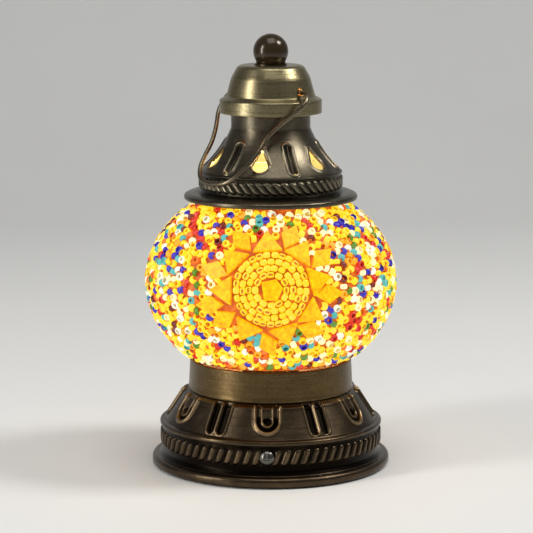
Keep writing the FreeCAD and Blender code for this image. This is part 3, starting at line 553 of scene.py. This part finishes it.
COLLAR_PROFILE = rounded([
    (36.6, 36.62, 0.2), (39.6, 36.62, 0.5), (39.3, 39.0, 2.0), (38.72, 50.6, 0.1),
    (38.7, 51.2, 0.3), (37.2, 51.2, 0.3), (37.2, 50.3, 0.2), (37.6, 50.0, 0.2),
    (38.0, 38.4, 0.4), (36.6, 37.7, 0.3)], 0.6)
collar = turned("spun_collar", COLLAR_PROFILE, "base", COLLAR_BRASS, 384)
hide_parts("neck_collar")

# ---------------------------------------------------------------- hat
BELL_LOW, BELL_HIGH, BELL_CURVE = (33.3, 141.9), (18.8, 162.0), 50.0
HAT_WALL = 1.0
DROP_HEIGHT, DROP_RADIUS, DROP_TIP = 147.0, 3.6, 8.2
DROP_AZIMUTH, DROP_PERIOD = -10, 60
BELL_SLOPE = 1.27  # distance up the bell for each millimetre of height


def bell_curve(low, high, radius, spacing):
    """Points of the bell's hollow curve, from its foot up to its neck."""
    low, high = np.array(low), np.array(high)
    chord = high - low
    half = np.linalg.norm(chord) / 2
    right = np.array((chord[1], -chord[0])) / (2 * half)
    centre = (low + high) / 2 + right * sqrt(radius ** 2 - half ** 2)
    first = atan2(*(low - centre)[::-1]) % (2 * pi)
    last = atan2(*(high - centre)[::-1]) % (2 * pi)
    steps = int(abs(last - first) * radius / spacing)
    angles = first + (last - first) * np.arange(steps + 1) / steps
    return centre + radius * np.stack([np.cos(angles), np.sin(angles)], axis=1)


def hat_profile(spacing):
    """The hat's outer skin from the flange up to the neck, then its inner skin back down."""
    outside = bell_curve(BELL_LOW, BELL_HIGH, BELL_CURVE, spacing)
    inside = bell_curve((BELL_LOW[0] - HAT_WALL, BELL_LOW[1] - 0.5),
                        (BELL_HIGH[0] - HAT_WALL, BELL_HIGH[1]), BELL_CURVE + HAT_WALL, spacing)
    foot = rounded([(40.3, 128.1, 0), (40.4, 128.1, 0.2), (41.2, 128.2, 0.6),
                    (41.2, 130.2, 1.2), (39.0, 131.2, 0.8), (34.6, 131.9, 0.5),
                    (33.3, 132.6, 0.3), (33.3, 140.3, 0.3), (33.9, 140.7, 0.3),
                    (34.0, 141.4, 0.4), (33.4, 141.8, 0)], spacing, closed=False)
    neck = rounded([(18.8, 162.2, 0), (18.8, 170.5, 0.3), (17.9, 170.5, 0.3), (17.8, 162.2, 0)],
                   spacing, closed=False)
    hem = rounded([(32.3, 141.2, 0), (32.3, 132.0, 0.3), (33.4, 131.3, 0.3),
                   (39.4, 130.4, 0.5), (40.2, 129.4, 0.4), (40.2, 128.3, 0)], spacing, closed=False)
    half = len(neck) // 2
    return two_skins(np.concatenate([foot, outside, neck[:half]]),
                     np.concatenate([neck[half:], inside[::-1], hem]))


def drop_width(share):
    """Half the width of a drop's upper part at a share of the way to its point."""
    return DROP_RADIUS * (1 - share) ** 1.15 * (1 + 0.25 * share)


def drop_outline(x, y):
    """Signed distance, roughly, from a drop: round below, drawn to a point above."""
    round_part = np.hypot(x, y) - DROP_RADIUS
    share = np.clip(y / DROP_TIP, 0, 1)
    tip_part = np.maximum((np.abs(x) - drop_width(share) - 0.35) * 0.85, y - DROP_TIP)
    return np.where(y > 0, np.minimum(tip_part, round_part), round_part)


def hat_relief(azimuth, radius, height, skin):
    """Rope band, a raised rim round each drop hole, and a sunk slot between the holes."""
    on_bell = (height > 141.95) & (height < 161.9)
    band = rope(azimuth, height, 33.3, 132.9, 140.2, 52, -38, 1.5, 1.0)
    band = band * (radius > 33.0) * (skin > 0)
    level = radians(1) * np.clip(radius, 18, 34)
    up = (height - DROP_HEIGHT) * BELL_SLOPE
    x = level * wrapped(azimuth - DROP_AZIMUTH, DROP_PERIOD)
    rim = 0.35 * bump(drop_outline(x, up) - 0.8, 0.9)
    x = level * wrapped(azimuth - DROP_AZIMUTH - DROP_PERIOD / 2, DROP_PERIOD)
    apart = capsule(x, up, -3.4, 9.4)
    slot = 0.6 * bump(apart - 2.5, 0.9) - 0.95 * step_down(apart - 1.6, 0.9)
    slot = slot + 0.6 * bump(x, 0.75) * step_down(apart - 1.2, 0.6)
    return band + (rim + slot) * on_bell * skin


HAT_COLUMNS = 832
hat_rows, hat_skin = hat_profile(0.34)
# Painted shade darkens the rope band and the creases either side; the inner skin has a painted glow
# from 134 mm up.
hat = turned("hat_stamping", hat_rows, "hat", HAT_BRASS, HAT_COLUMNS,
             hat_relief, hat_skin, ((131.8, 132.8, 0.8), (132.8, 141.0, 0.7), (141.3, 142.0, 0.6)),
             lit_above=134)


def prism_cutter(name, loops):
    """A closed cutter from pairs of matching loops, the first of each pair the outer one."""
    made = bmesh.new()
    for outer_loop, inner_loop in loops:
        top = [made.verts.new(Vector(p) * MM) for p in outer_loop]
        bottom = [made.verts.new(Vector(p) * MM) for p in inner_loop]
        made.faces.new(top)
        made.faces.new(bottom[::-1])
        for k in range(len(top)):
            after = (k + 1) % len(top)
            made.faces.new((top[after], top[k], bottom[k], bottom[after]))
    bmesh.ops.recalc_face_normals(made, faces=made.faces)
    mesh = bpy.data.meshes.new(name)
    made.to_mesh(mesh)
    made.free()
    cutter = bpy.data.objects.new(name, mesh)
    scene.collection.objects.link(cutter)
    return cutter


def drop_cutters():
    """Drop-shaped prisms that stand square to the bell at each hole."""
    outline = [(DROP_RADIUS * cos(a), DROP_RADIUS * sin(a))
               for a in np.linspace(pi, 2 * pi, 28)]
    side = [(drop_width(share) + 0.35 * share, DROP_TIP * share)
            for share in np.linspace(0.07, 1, 13)]
    outline += side + [(-x, y) for x, y in reversed(side)]
    loops = []
    for hole in range(360 // DROP_PERIOD):
        turn = radians(DROP_AZIMUTH + DROP_PERIOD * hole)
        out = np.array((sin(turn) * 0.8, -cos(turn) * 0.8, 0.6))
        east = np.array((cos(turn), sin(turn), 0))
        north = np.cross(out, east)
        centre = np.array((sin(turn) * 28.8, -cos(turn) * 28.8, DROP_HEIGHT))
        rim = [centre + east * x + north * y for x, y in outline]
        loops.append(([p + out * 5 for p in rim], [p - out * 5 for p in rim]))
    return prism_cutter("drop_cutters", loops)


def cut_holes(piece, cutter):
    """Takes the cutter's shape out of a piece and keeps the result as plain mesh."""
    cut = piece.modifiers.new("cut", "BOOLEAN")
    cut.operation = "DIFFERENCE"
    cut.object = cutter
    cut.solver = "EXACT"
    graph = bpy.context.evaluated_depsgraph_get()
    made = bpy.data.meshes.new_from_object(piece.evaluated_get(graph))
    piece.modifiers.clear()
    piece.data = made
    bpy.data.objects.remove(cutter)


cut_holes(hat, drop_cutters())
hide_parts("hat_shell")

# ---------------------------------------------------------------- dome, finial and bail
DOME_OUTSIDE = rounded([
    (24.2, 169.0, 0), (24.2, 175.2, 0.7), (21.1, 176.9, 0.7), (20.7, 178.2, 1.5),
    (18.7, 185.6, 9.0), (15.9, 190.6, 2.0), (14.2, 191.5, 1.5), (10.0, 191.5, 0),
    (2.1, 191.5, 0)], 0.45, closed=False)
DOME_INSIDE = rounded([
    (2.1, 190.5, 0), (12.6, 190.5, 1.0), (15.0, 189.4, 2.0), (17.6, 185.0, 8.0),
    (19.5, 177.4, 0.8), (23.2, 175.4, 0.5), (23.2, 169.0, 0)], 0.45, closed=False)
dome_rows, dome_skin = two_skins(DOME_OUTSIDE, DOME_INSIDE)
# Its inner skin carries the painted orange glow of LIGHT_BRASS.
dome = turned("dome_spinning", dome_rows, "hat", LIGHT_BRASS, 384,
              skin=dome_skin)


BAIL_AZIMUTH, BAIL_HEIGHT, BAIL_HOLE = 43, 179.8, 1.8


def bail_cutters():
    """Round rods through the dome's wall at the bail's two pivots."""
    loops = []
    for azimuth in (BAIL_AZIMUTH, BAIL_AZIMUTH + 180):
        turn = radians(azimuth)
        out = np.array((sin(turn), -cos(turn), 0))
        side = np.array((cos(turn), sin(turn), 0))
        rim = [side * BAIL_HOLE * cos(a) + np.array((0, 0, BAIL_HEIGHT + BAIL_HOLE * sin(a)))
               for a in np.linspace(0, 2 * pi, 28, endpoint=False)]
        loops.append(([p + out * 30 for p in rim], [p + out * 12 for p in rim]))
    return prism_cutter("bail_cutters", loops)


cut_holes(dome, bail_cutters())
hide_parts("dome_cap")

BALL_CENTRE, BALL_RADIUS = 197.9, 8.3
FINIAL_PROFILE = np.array(
    [(2.1, 192.2), (6.8, 192.2), (7.0, 192.5)]
    + [(BALL_RADIUS * cos(a), BALL_CENTRE + BALL_RADIUS * sin(a))
       for a in np.linspace(-0.58, 1.565, 40)] + [(0.05, 199.0), (2.1, 199.0)])
ball = turned("finial_turning", FINIAL_PROFILE, "hat", BRONZE, 160)
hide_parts("finial_ball")

# ---------------------------------------------------------------- bail
PIVOT = np.array((0, 0, BAIL_HEIGHT))
BAIL_TURN, BAIL_TILT = radians(BAIL_AZIMUTH), radians(42.5)
BAIL_OUT = np.array((sin(BAIL_TURN), -cos(BAIL_TURN), 0))
BAIL_DOWN = (np.array((-cos(BAIL_TURN), -sin(BAIL_TURN), 0)) * sin(BAIL_TILT)
             + np.array((0, 0, -cos(BAIL_TILT))))
# Each arm of the bent wire, as (outward, down along the way the bail hangs).
RIGHT_ARM = ((18.2, 0), (24.8, 0), (28.6, 6.5), (25.2, 12.5), (20.6, 20), (16.8, 27.5),
             (17.8, 36.5), (15.6, 46.5), (9.8, 56.4))
LEFT_ARM = ((18.2, 0), (24.2, 0), (26.8, 6.5), (26.2, 14.5), (20.4, 24), (16.4, 33.5),
            (15.6, 42), (13.4, 49.5), (7.2, 56.2))


def smooth_route(corners, share=0.49, steps=7):
    """Points along a polyline whose corners are rounded by curves tangent to both runs."""
    corners = [np.array(c, float) for c in corners]
    path = [corners[0]]
    for before, corner, after in zip(corners, corners[1:], corners[2:]):
        start = corner + (before - corner) * share
        end = corner + (after - corner) * share
        for step in range(steps + 1):
            t = step / steps
            path.append(start * (1 - t) ** 2 + corner * 2 * t * (1 - t) + end * t ** 2)
    path.append(corners[-1])
    return np.array(path)


def tube(name, path, radius, body, material, sides=16):
    """A closed round tube along a path."""
    along = np.gradient(path, axis=0)
    along /= np.linalg.norm(along, axis=1)[:, None]
    across = np.cross(along[0], (0.3, 0.2, 0.9))
    rings = []
    for here, way in zip(path, along):
        across = across - way * (across @ way)
        across /= np.linalg.norm(across)
        other = np.cross(way, across)
        angle = np.arange(sides) * 2 * pi / sides
        rings.append(here + radius * (np.cos(angle)[:, None] * across
                                      + np.sin(angle)[:, None] * other))
    points = np.concatenate(rings + [path[:1], path[-1:]])
    faces = grid_faces(len(path), sides, wrap_rows=False)
    tip, last = len(path) * sides, (len(path) - 1) * sides
    faces = np.concatenate([halved(faces), fan(0, sides, tip), fan(last, sides, tip + 1, -1)])
    return new_mesh(name, points, faces, body, material)


bail_corners = [PIVOT + BAIL_OUT * out + BAIL_DOWN * down for out, down in RIGHT_ARM]
bail_corners += [PIVOT - BAIL_OUT * out + BAIL_DOWN * down for out, down in reversed(LEFT_ARM)]
bail = tube("bail_wire_form", smooth_route(bail_corners), 1.05, "bail", WIRE)
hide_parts("bail_handle")

# ---------------------------------------------------------------- globe surface
GLOBE_CENTRE, GLASS_RADIUS, GLASS_HALF = 88.2, 57.6, 46.0
STAR_HEIGHT = 94.0
STAR_PERIOD = 120
LAY_COVER = 1.3  # height over the glass at which the tiles and beads are laid out
TRIANGLE_ANGLES = (-4, 38, 79.4, 120.4, 163, 210.5, 268, 308.8)
TRIANGLE_MIDDLE, TRIANGLE_LENGTH, TRIANGLE_BASE = 24.05, 10.7, 13.4
# Each diamond is (angle, distance, heading) in its star's plane.
DIAMONDS = ((-30, 27.4, -47), (19.5, 27.4, 30), (59.6, 28, 54), (95.8, 28, 89),
            (136.6, 27.5, 107), (182.5, 27.6, 158), (236.4, 26.8, 239), (254.5, 30.5, 266),
            (287, 28, 284))
DIAMOND_LENGTH, DIAMOND_WIDTH = 14.4, 9.0
ROSETTE_RINGS = (6.95, 10.05, 13.15, 16.25)
BARE_REACH = 23.5
BEAD_LOW, BEAD_HIGH = 53.2, 126.8


def meridian_table(cover):
    """Heights, level radii and arc lengths up the globe's meridian from the star's height."""
    turn = np.linspace(-1.2, 1.3, 2001)
    radius, half = GLASS_RADIUS + cover, GLASS_HALF + cover
    step = np.hypot(radius * np.sin(turn), half * np.cos(turn))
    arc = np.concatenate([[0], np.cumsum((step[1:] + step[:-1]) / 2 * np.diff(turn))])
    height = GLOBE_CENTRE + half * np.sin(turn)
    arc -= np.interp(STAR_HEIGHT, height, arc)
    return turn, height, radius * np.cos(turn), arc


def globe_frames(star_azimuth, east, north, cover):
    """Points on the globe with their outward, eastward and northward directions."""
    turn_table, height_table, level_table, arc = meridian_table(cover)
    turn = np.interp(north, arc, turn_table)
    level = np.interp(north, arc, level_table)
    height = np.interp(north, arc, height_table)
    azimuth = np.radians(star_azimuth + np.degrees(east / level))
    radius, half = GLASS_RADIUS + cover, GLASS_HALF + cover
    tilt = np.arctan2(radius * np.sin(turn), half * np.cos(turn))
    level_way = np.stack([np.sin(azimuth), -np.cos(azimuth), 0 * azimuth], axis=-1)
    up = np.array((0, 0, 1.0))
    outward_way = level_way * np.cos(tilt)[..., None] + up * np.sin(tilt)[..., None]
    eastward = np.stack([np.cos(azimuth), np.sin(azimuth), 0 * azimuth], axis=-1)
    northward = np.cross(outward_way, eastward)
    points = level_way * level[..., None] + up * height[..., None]
    return points, outward_way, eastward, northward


def ellipse_profile(cover, low, high, steps=70):
    radius, half = GLASS_RADIUS + cover, GLASS_HALF + cover
    turns = np.linspace(asin((low - GLOBE_CENTRE) / half), asin((high - GLOBE_CENTRE) / half), steps)
    return np.stack([radius * np.cos(turns), GLOBE_CENTRE + half * np.sin(turns)], axis=1)


grout_profile = np.concatenate([ellipse_profile(0.5, 51.5, 127.5),
                                ellipse_profile(0.05, 51.5, 127.5)[::-1]])
grout = turned("grout_skin", grout_profile, "base", GROUT, 256)
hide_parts("grout_layer")

GLASS_OUTSIDE = np.concatenate([[(34.0, 47.3)], ellipse_profile(0, 51.5, 126.5), [(31.2, 128.9)]])
GLASS_INSIDE = np.concatenate([[(31.8, 47.3)], ellipse_profile(-2.2, 51.7, 126.3), [(29.0, 128.9)]])
blown_glass = turned("blown_glass", np.concatenate([GLASS_OUTSIDE, GLASS_INSIDE[::-1]]), "base",
                     GLASS, 256)
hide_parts("glass_globe")


def polygon_distance(x, y, corners):
    """Signed distance from a convex polygon whose corners run clockwise or anticlockwise."""
    corners = np.array(corners, float)
    after = np.roll(corners, -1, axis=0)
    middle = corners.mean(axis=0)
    far = np.full(np.shape(x), -1e9)
    for start, end in zip(corners, after):
        edge = end - start
        normal = np.array((edge[1], -edge[0])) / np.linalg.norm(edge)
        if normal @ (middle - start) > 0:
            normal = -normal
        far = np.maximum(far, normal[0] * (x - start[0]) + normal[1] * (y - start[1]))
    return far


def tile_corners(angle, distance, heading, length, outline):
    """Corners in a star's plane of a tile laid at an angle and distance from its centre."""
    turn, lean = radians(angle), radians(heading)
    corners = []
    for across, share in outline:
        along = (share - 0.5) * length
        corners.append((distance * sin(turn) + across * cos(lean) + along * sin(lean),
                        distance * cos(turn) - across * sin(lean) + along * cos(lean)))
    return corners


TRIANGLE = ((-TRIANGLE_BASE / 2, 0), (TRIANGLE_BASE / 2, 0), (0, 1))
DIAMOND = ((0, 0), (DIAMOND_WIDTH / 2, 0.5), (0, 1), (-DIAMOND_WIDTH / 2, 0.5))
TILE_OUTLINES = [tile_corners(angle, TRIANGLE_MIDDLE, angle, TRIANGLE_LENGTH, TRIANGLE)
                 for angle in TRIANGLE_ANGLES]
TILE_OUTLINES += [tile_corners(*place, DIAMOND_LENGTH, DIAMOND) for place in DIAMONDS]


def in_star_plane(points):
    """East and north of the nearest star's centre for points near the globe."""
    _, height_table, level_table, arc = meridian_table(LAY_COVER)
    azimuth = np.degrees(np.arctan2(points[:, 0], -points[:, 1]))
    nearest = np.round(azimuth / STAR_PERIOD) * STAR_PERIOD
    north = np.interp(points[:, 2], height_table, arc)
    level = np.interp(points[:, 2], height_table, level_table)
    return np.radians(azimuth - nearest) * level, north


def clear_of_tiles(points):
    """Distance from each point to the nearest tile or bare star middle, negative inside one."""
    east, north = in_star_plane(points)
    clear = np.hypot(east, north) - BARE_REACH
    for corners in TILE_OUTLINES:
        clear = np.minimum(clear, polygon_distance(east, north, corners))
    return clear


# ---------------------------------------------------------------- seed beads
BEAD_SPACING = 3.35
BEAD_EASE = BEAD_SPACING * 1.08
BEAD_COVER = 1.4
BEAD_MARGIN = 1.15


def scatter_beads():
    """Bead centres packed at random over the globe, clear of the tiles; ease_apart later eases them
    apart.
    """
    radius, half = GLASS_RADIUS + BEAD_COVER, GLASS_HALF + BEAD_COVER
    tries = 60000
    azimuth = random.uniform(-180, 180, tries)
    height = random.uniform(BEAD_LOW + 0.9, BEAD_HIGH - 0.7, tries)
    level = radius * np.sqrt(1 - ((height - GLOBE_CENTRE) / half) ** 2)
    turn = np.radians(azimuth)
    points = np.stack([level * np.sin(turn), -level * np.cos(turn), height], axis=1)
    points = points[clear_of_tiles(points) > BEAD_MARGIN]
    cell = BEAD_SPACING * 0.86
    chosen, grid = [], {}
    for point in points:
        key = tuple((point // cell).astype(int))
        near = [other for dx, dy, dz in product((-1, 0, 1), repeat=3)
                for other in grid.get((key[0] + dx, key[1] + dy, key[2] + dz), ())]
        if all(np.sum((other - point) ** 2) >= cell ** 2 for other in near):
            grid.setdefault(key, []).append(point)
            chosen.append(point)
    return np.array(chosen)


def near_finder(points):
    tree = KDTree(len(points))
    for index, point in enumerate(points):
        tree.insert(Vector(point), index)
    tree.balance()
    return tree


def ease_apart(points, rounds=14):
    """Pushes close beads apart over the glass, but never onto a tile."""
    radius, half = GLASS_RADIUS + BEAD_COVER, GLASS_HALF + BEAD_COVER
    for _ in range(rounds):
        tree = near_finder(points)
        push = np.zeros_like(points)
        for index, point in enumerate(points):
            for other, _, apart in tree.find_n(Vector(point), 7)[1:]:
                if apart < BEAD_EASE:
                    way = point - np.array(other)
                    push[index] += way / max(apart, 0.1) * (BEAD_EASE - apart) * 0.28
        moved = points + push
        moved[:, 2] = np.clip(moved[:, 2], BEAD_LOW + 0.9, BEAD_HIGH - 0.7)
        level = radius * np.sqrt(1 - ((moved[:, 2] - GLOBE_CENTRE) / half) ** 2)
        moved[:, :2] *= (level / np.hypot(moved[:, 0], moved[:, 1]))[:, None]
        allowed = clear_of_tiles(moved) > BEAD_MARGIN * 0.92
        points = np.where(allowed[:, None], moved, points)
    return points


def bead_room(points):
    """Half the mean distance from each bead to its nearest neighbours."""
    tree = near_finder(points)
    room = [np.mean([found[2] for found in tree.find_n(Vector(point), 6)[1:]]) / 2
            for point in points]
    return np.clip(room, 1.3, 1.9)


def bead_shape(radius, bore, half_height, sides=12):
    """A rounded ring standing on Z, as points, faces and a brightness that falls inside the bore as
    painted shade.
    """
    outline = ((1.0, 0.0), (0.88, 0.62), (0.62, 0.97), (0.30, 0.88), (0.0, 0.0), (0.30, -0.88),
               (0.62, -0.97), (0.88, -0.62))
    # Brightness of each row of the outline: painted shade deep in the bore.
    row_shading = (0.75, 0.85, 0.8, 0.3, 0.05, 0.3, 0.8, 0.85)
    points, tone_and_shade = [], []
    for (share, rise), shade in zip(outline, row_shading):
        reach = bore + (radius - bore) * share
        for side in range(sides):
            angle = 2 * pi * side / sides
            points.append((reach * cos(angle), reach * sin(angle), rise * half_height))
            tone_and_shade.append(shade)
    return np.array(points), grid_faces(len(outline), sides)[:, ::-1], np.array(tone_and_shade)


def placed(shapes, name, material, extra=None):
    """One mesh of beads: each is (points, faces, tone, origin, axes, lift)."""
    all_points, all_faces, all_tones, start = [], [], [], 0
    for points, faces, tone_and_shade, origin, axes, lift in shapes:
        all_points.append(points @ axes + origin)
        all_faces.append(faces + start)
        all_tones.append(np.clip(tone_and_shade + lift, 0, 1))
        start += len(points)
    values = {"tone_and_shade": np.concatenate(all_tones)}
    if extra is not None:
        values["dash"] = np.concatenate(extra)
    return new_mesh(name, np.concatenate(all_points), np.concatenate(all_faces), "base",
                    material, values)


BEAD_COLOURS = {
    # name: (share of the beads, colour at the edges, colour of the body, glow)
    "yellow": (0.42, (0.62, 0.20, 0.002), (1.0, 0.70, 0.010), 0.95),
    "amber": (0.07, (0.50, 0.10, 0.002), (0.97, 0.42, 0.004), 0.92),
    "cream": (0.14, (0.62, 0.36, 0.04), (1.0, 0.93, 0.50), 0.92),
    "clear": (0.08, (0.40, 0.30, 0.10), (0.90, 0.92, 0.74), 0.9),
    "cobalt": (0.075, (0.004, 0.002, 0.08), (0.035, 0.020, 0.50), 0.75),
    "turquoise": (0.055, (0.01, 0.10, 0.09), (0.10, 0.52, 0.48), 0.75),
    "red": (0.065, (0.16, 0.004, 0.001), (0.72, 0.020, 0.004), 0.85),
    "garnet": (0.025, (0.04, 0.002, 0.001), (0.22, 0.012, 0.004), 0.7),
    "green": (0.035, (0.01, 0.04, 0.004), (0.12, 0.30, 0.012), 0.7),
    "orange": (0.035, (0.34, 0.03, 0.001), (0.90, 0.16, 0.004), 0.9),
}
bead_materials = {colour: glowing_glass("bead_" + colour, dark, light, glow, 900)
                  for colour, (_, dark, light, glow) in BEAD_COLOURS.items()}

bead_centres = ease_apart(scatter_beads())
names = list(BEAD_COLOURS)
shares = np.array([BEAD_COLOURS[key][0] for key in names])
bead_colour = random.choice(len(names), len(bead_centres), p=shares / shares.sum())
shapes_by_colour = {key: [] for key in names}
for centre, colour, room in zip(bead_centres, bead_colour, bead_room(bead_centres)):
    radius = room * random.uniform(0.92, 1.06)
    points, faces, tone_and_shade = bead_shape(radius, radius * random.uniform(0.26, 0.36),
                                     radius * random.uniform(0.62, 0.80))
    outward_way = np.array((centre[0] / GLASS_RADIUS ** 2, centre[1] / GLASS_RADIUS ** 2,
                            (centre[2] - GLOBE_CENTRE) / GLASS_HALF ** 2))
    outward_way /= np.linalg.norm(outward_way)
    level_way = np.cross((0, 0, 1.0), outward_way)
    level_way /= np.linalg.norm(level_way)
    spin = random.uniform(0, 2 * pi)
    side = level_way * cos(spin) + np.cross(outward_way, level_way) * sin(spin)
    if random.random() < 0.36:
        axis = outward_way + side * random.uniform(0, 0.35)
    else:
        axis = side + outward_way * random.uniform(-0.3, 0.3)
    axis /= np.linalg.norm(axis)
    second = np.cross(axis, outward_way + side * 0.37)
    second /= np.linalg.norm(second)
    axes = np.array((second, np.cross(axis, second), axis))
    reach = np.max((points @ axes) @ outward_way)
    seat = centre + outward_way * (1.15 - reach + random.uniform(-0.12, 0.1))
    shapes_by_colour[names[colour]].append(
        (points, faces, tone_and_shade, seat, axes, random.uniform(-0.25, 0.22)))

bead_pieces = [placed(shapes, f"beads_{colour}_0", bead_materials[colour])
               for colour, shapes in shapes_by_colour.items()]
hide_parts("bead_layer")


# ---------------------------------------------------------------- rosette beads
def cushion(length, width, height, sides=14, rings=9):
    """A pillow-shaped bead with its long side along X, and how far each point is from its top.

    That distance is 1 on the edge of the oval mark which some beads carry.
    """
    points = [(0, 0, -height / 2), (0, 0, height / 2)]
    for ring in range(1, rings):
        lat = -pi / 2 + pi * ring / rings
        for side in range(sides):
            lon = 2 * pi * side / sides
            x = np.sign(cos(lon)) * abs(cos(lon)) ** 0.62 * cos(lat) ** 0.7
            y = np.sign(sin(lon)) * abs(sin(lon)) ** 0.62 * cos(lat) ** 0.7
            points.append((x * length / 2, y * width / 2, sin(lat) * height / 2))
    walls = grid_faces(rings - 1, sides, wrap_rows=False) + 2
    last = 2 + (rings - 2) * sides
    faces = np.concatenate([halved(walls), fan(2, sides, 0, -1), fan(last, sides, 1)])
    points = np.array(points)
    mark = np.hypot(points[:, 0] / (length * 0.36), points[:, 1] / (width * 0.17))
    return points, faces, np.where(points[:, 2] > 0, mark, 3.0)


def rosette_glass(name):
    """Bead glass with a red-brown mark where the dash value is low."""
    made = glowing_glass(name, (0.36, 0.14, 0.002), (0.92, 0.65, 0.005), 0.92, 700)
    tree = made.node_tree
    shader = tree.nodes["Principled BSDF"]
    across = add_node(tree, "ShaderNodeAttribute", attribute_name="dash").outputs["Fac"]
    colour = shader.inputs["Emission Color"].links[0].from_socket
    marked = ramp(tree, arithmetic(tree, "MULTIPLY", across, 0.5),
                  ((0.42, (0.55, 0.07, 0.02)), (0.64, (1, 1, 1))))
    tinted = blend_colours(tree, 1.0, colour, marked, "MULTIPLY")
    feed(tinted, shader, "Emission Color")
    return made


ROSETTE = rosette_glass("rosette_glass")
rosette_shapes, rosette_dashes = [], []
for star in range(0, 360, STAR_PERIOD):
    for ring, reach in enumerate(ROSETTE_RINGS):
        count = int(2 * pi * reach / 3.5)
        for number in range(count):
            angle = (number + 0.5 * (ring % 2) + random.uniform(-0.08, 0.08)) * 2 * pi / count
            distance = reach + random.uniform(-0.2, 0.2)
            points, faces, across = cushion(min(3.8, 2 * pi * reach / count - 0.08),
                                            random.uniform(2.8, 3.1), 2.3)
            origin, normal, east, north = globe_frames(
                star, np.array(distance * sin(angle)), np.array(distance * cos(angle)), 1.45)
            tangent = east * cos(angle) - north * sin(angle)
            radial = np.cross(normal, tangent)
            # Painted shade: each cushion's outer face is lighter than its inner face.
            tone_and_shade = 0.62 + 0.2 * points[:, 2]
            rosette_shapes.append((points, faces, tone_and_shade, origin,
                                   np.array((tangent, radial, normal)),
                                   random.uniform(-0.2, 0.2)))
            marked = random.random() < 0.35
            rosette_dashes.append(across if marked else np.full(len(points), 3.0))
rosette = placed(rosette_shapes, "rosette_cushions", ROSETTE, rosette_dashes)
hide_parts("rosette_beads")



def soften_edges(names, width, segments, angle):
    for node_name in names:
        edge = frame["nodes"][node_name].modifiers.new("worn_edge", "BEVEL")
        edge.width = width * MM
        edge.segments = segments
        edge.limit_method = "ANGLE"
        edge.angle_limit = radians(angle)


soften_edges(("star_triangles", "star_diamonds", "star_centres"), 0.4, 3, 35)
soften_edges(("side_screws", "bottom_plate", "battery_door", "switch_slider", "switch_body"),
             0.2, 2, 40)

# ---------------------------------------------------------------- floor, light and camera
floor_material, floor_tree, floor_shader = node_material("floor_paper")
floor_cloud = noise(floor_tree, 3, 2)
feed(ramp(floor_tree, floor_cloud, ((0.3, (0.80, 0.80, 0.79)), (0.7, (0.84, 0.84, 0.83)))),
     floor_shader, "Base Color")
set_up(floor_shader, Roughness=0.6)


def floor_sheet():
    """A level sheet that curves up into a plain wall behind the lamp."""
    half_width, front, back, bend, top = 3000, -3000, 1500, 700, 3200
    outline = [(front, 0), (back - bend, 0)]
    for step in range(1, 13):
        angle = pi / 2 * step / 12
        outline.append((back - bend + bend * sin(angle), bend - bend * cos(angle)))
    outline.append((back, top))
    points = [(x, y, z) for y, z in outline for x in (-half_width, half_width)]
    faces = grid_faces(len(outline), 2, wrap_rows=False, wrap_columns=False)
    mesh = bpy.data.meshes.new("studio_floor")
    mesh.from_pydata([Vector(p) * MM for p in points], [], faces[:, ::-1].tolist())
    for polygon in mesh.polygons:
        polygon.use_smooth = True
    sheet = bpy.data.objects.new("studio_floor", mesh)
    scene.collection.objects.link(sheet)
    mesh.materials.append(floor_material)


floor_sheet()


def softbox(name, azimuth, elevation, distance, size, power, colour):
    """A soft rectangular light aimed at the globe."""
    panel = bpy.data.lights.new(name, "AREA")
    panel.shape = "RECTANGLE"
    panel.size, panel.size_y = size
    panel.energy = power
    panel.color = colour
    holder = bpy.data.objects.new(name, panel)
    turn, rise = radians(azimuth), radians(elevation)
    aim = Vector((0, 0, 0.1))
    way = Vector((sin(turn) * cos(rise), -cos(turn) * cos(rise), sin(rise)))
    holder.location = aim + way * distance
    holder.rotation_euler = way.to_track_quat("Z", "Y").to_euler()
    scene.collection.objects.link(holder)


softbox("key_left", -62, 16, 1.1, (0.14, 0.9), 7, (1, 0.98, 0.95))
softbox("fill_right", 85, 50, 1.2, (0.3, 0.3), 7, (1, 0.98, 0.95))
softbox("top_sheet", 10, 78, 1.4, (0.9, 0.9), 7, (1, 0.99, 0.97))

bulb_glow = bpy.data.lights.new("bulb_glow", "POINT")
bulb_glow.energy = 2.0
bulb_glow.color = (1.0, 0.62, 0.22)
bulb_glow.shadow_soft_size = 0.012
bulb_holder = bpy.data.objects.new("bulb_glow", bulb_glow)
bulb_holder.location = (0, 0, 0.118)
scene.collection.objects.link(bulb_holder)

world = bpy.data.worlds.new("studio")
scene.world = world
world.use_nodes = True
background = world.node_tree.nodes["Background"]
set_up(background, Color=(0.86, 0.88, 0.90, 1), Strength=0.20)

camera = bpy.data.cameras.new("view")
camera.lens = 159.8
camera.sensor_width = 36
camera_holder = bpy.data.objects.new("view", camera)
camera_holder.location = (-0.002, -1.116, 0.280)
camera_holder.rotation_euler = (radians(90 - 9.41), 0, 0)
scene.collection.objects.link(camera_holder)
scene.camera = camera_holder
scene.view_settings.view_transform = "Standard"
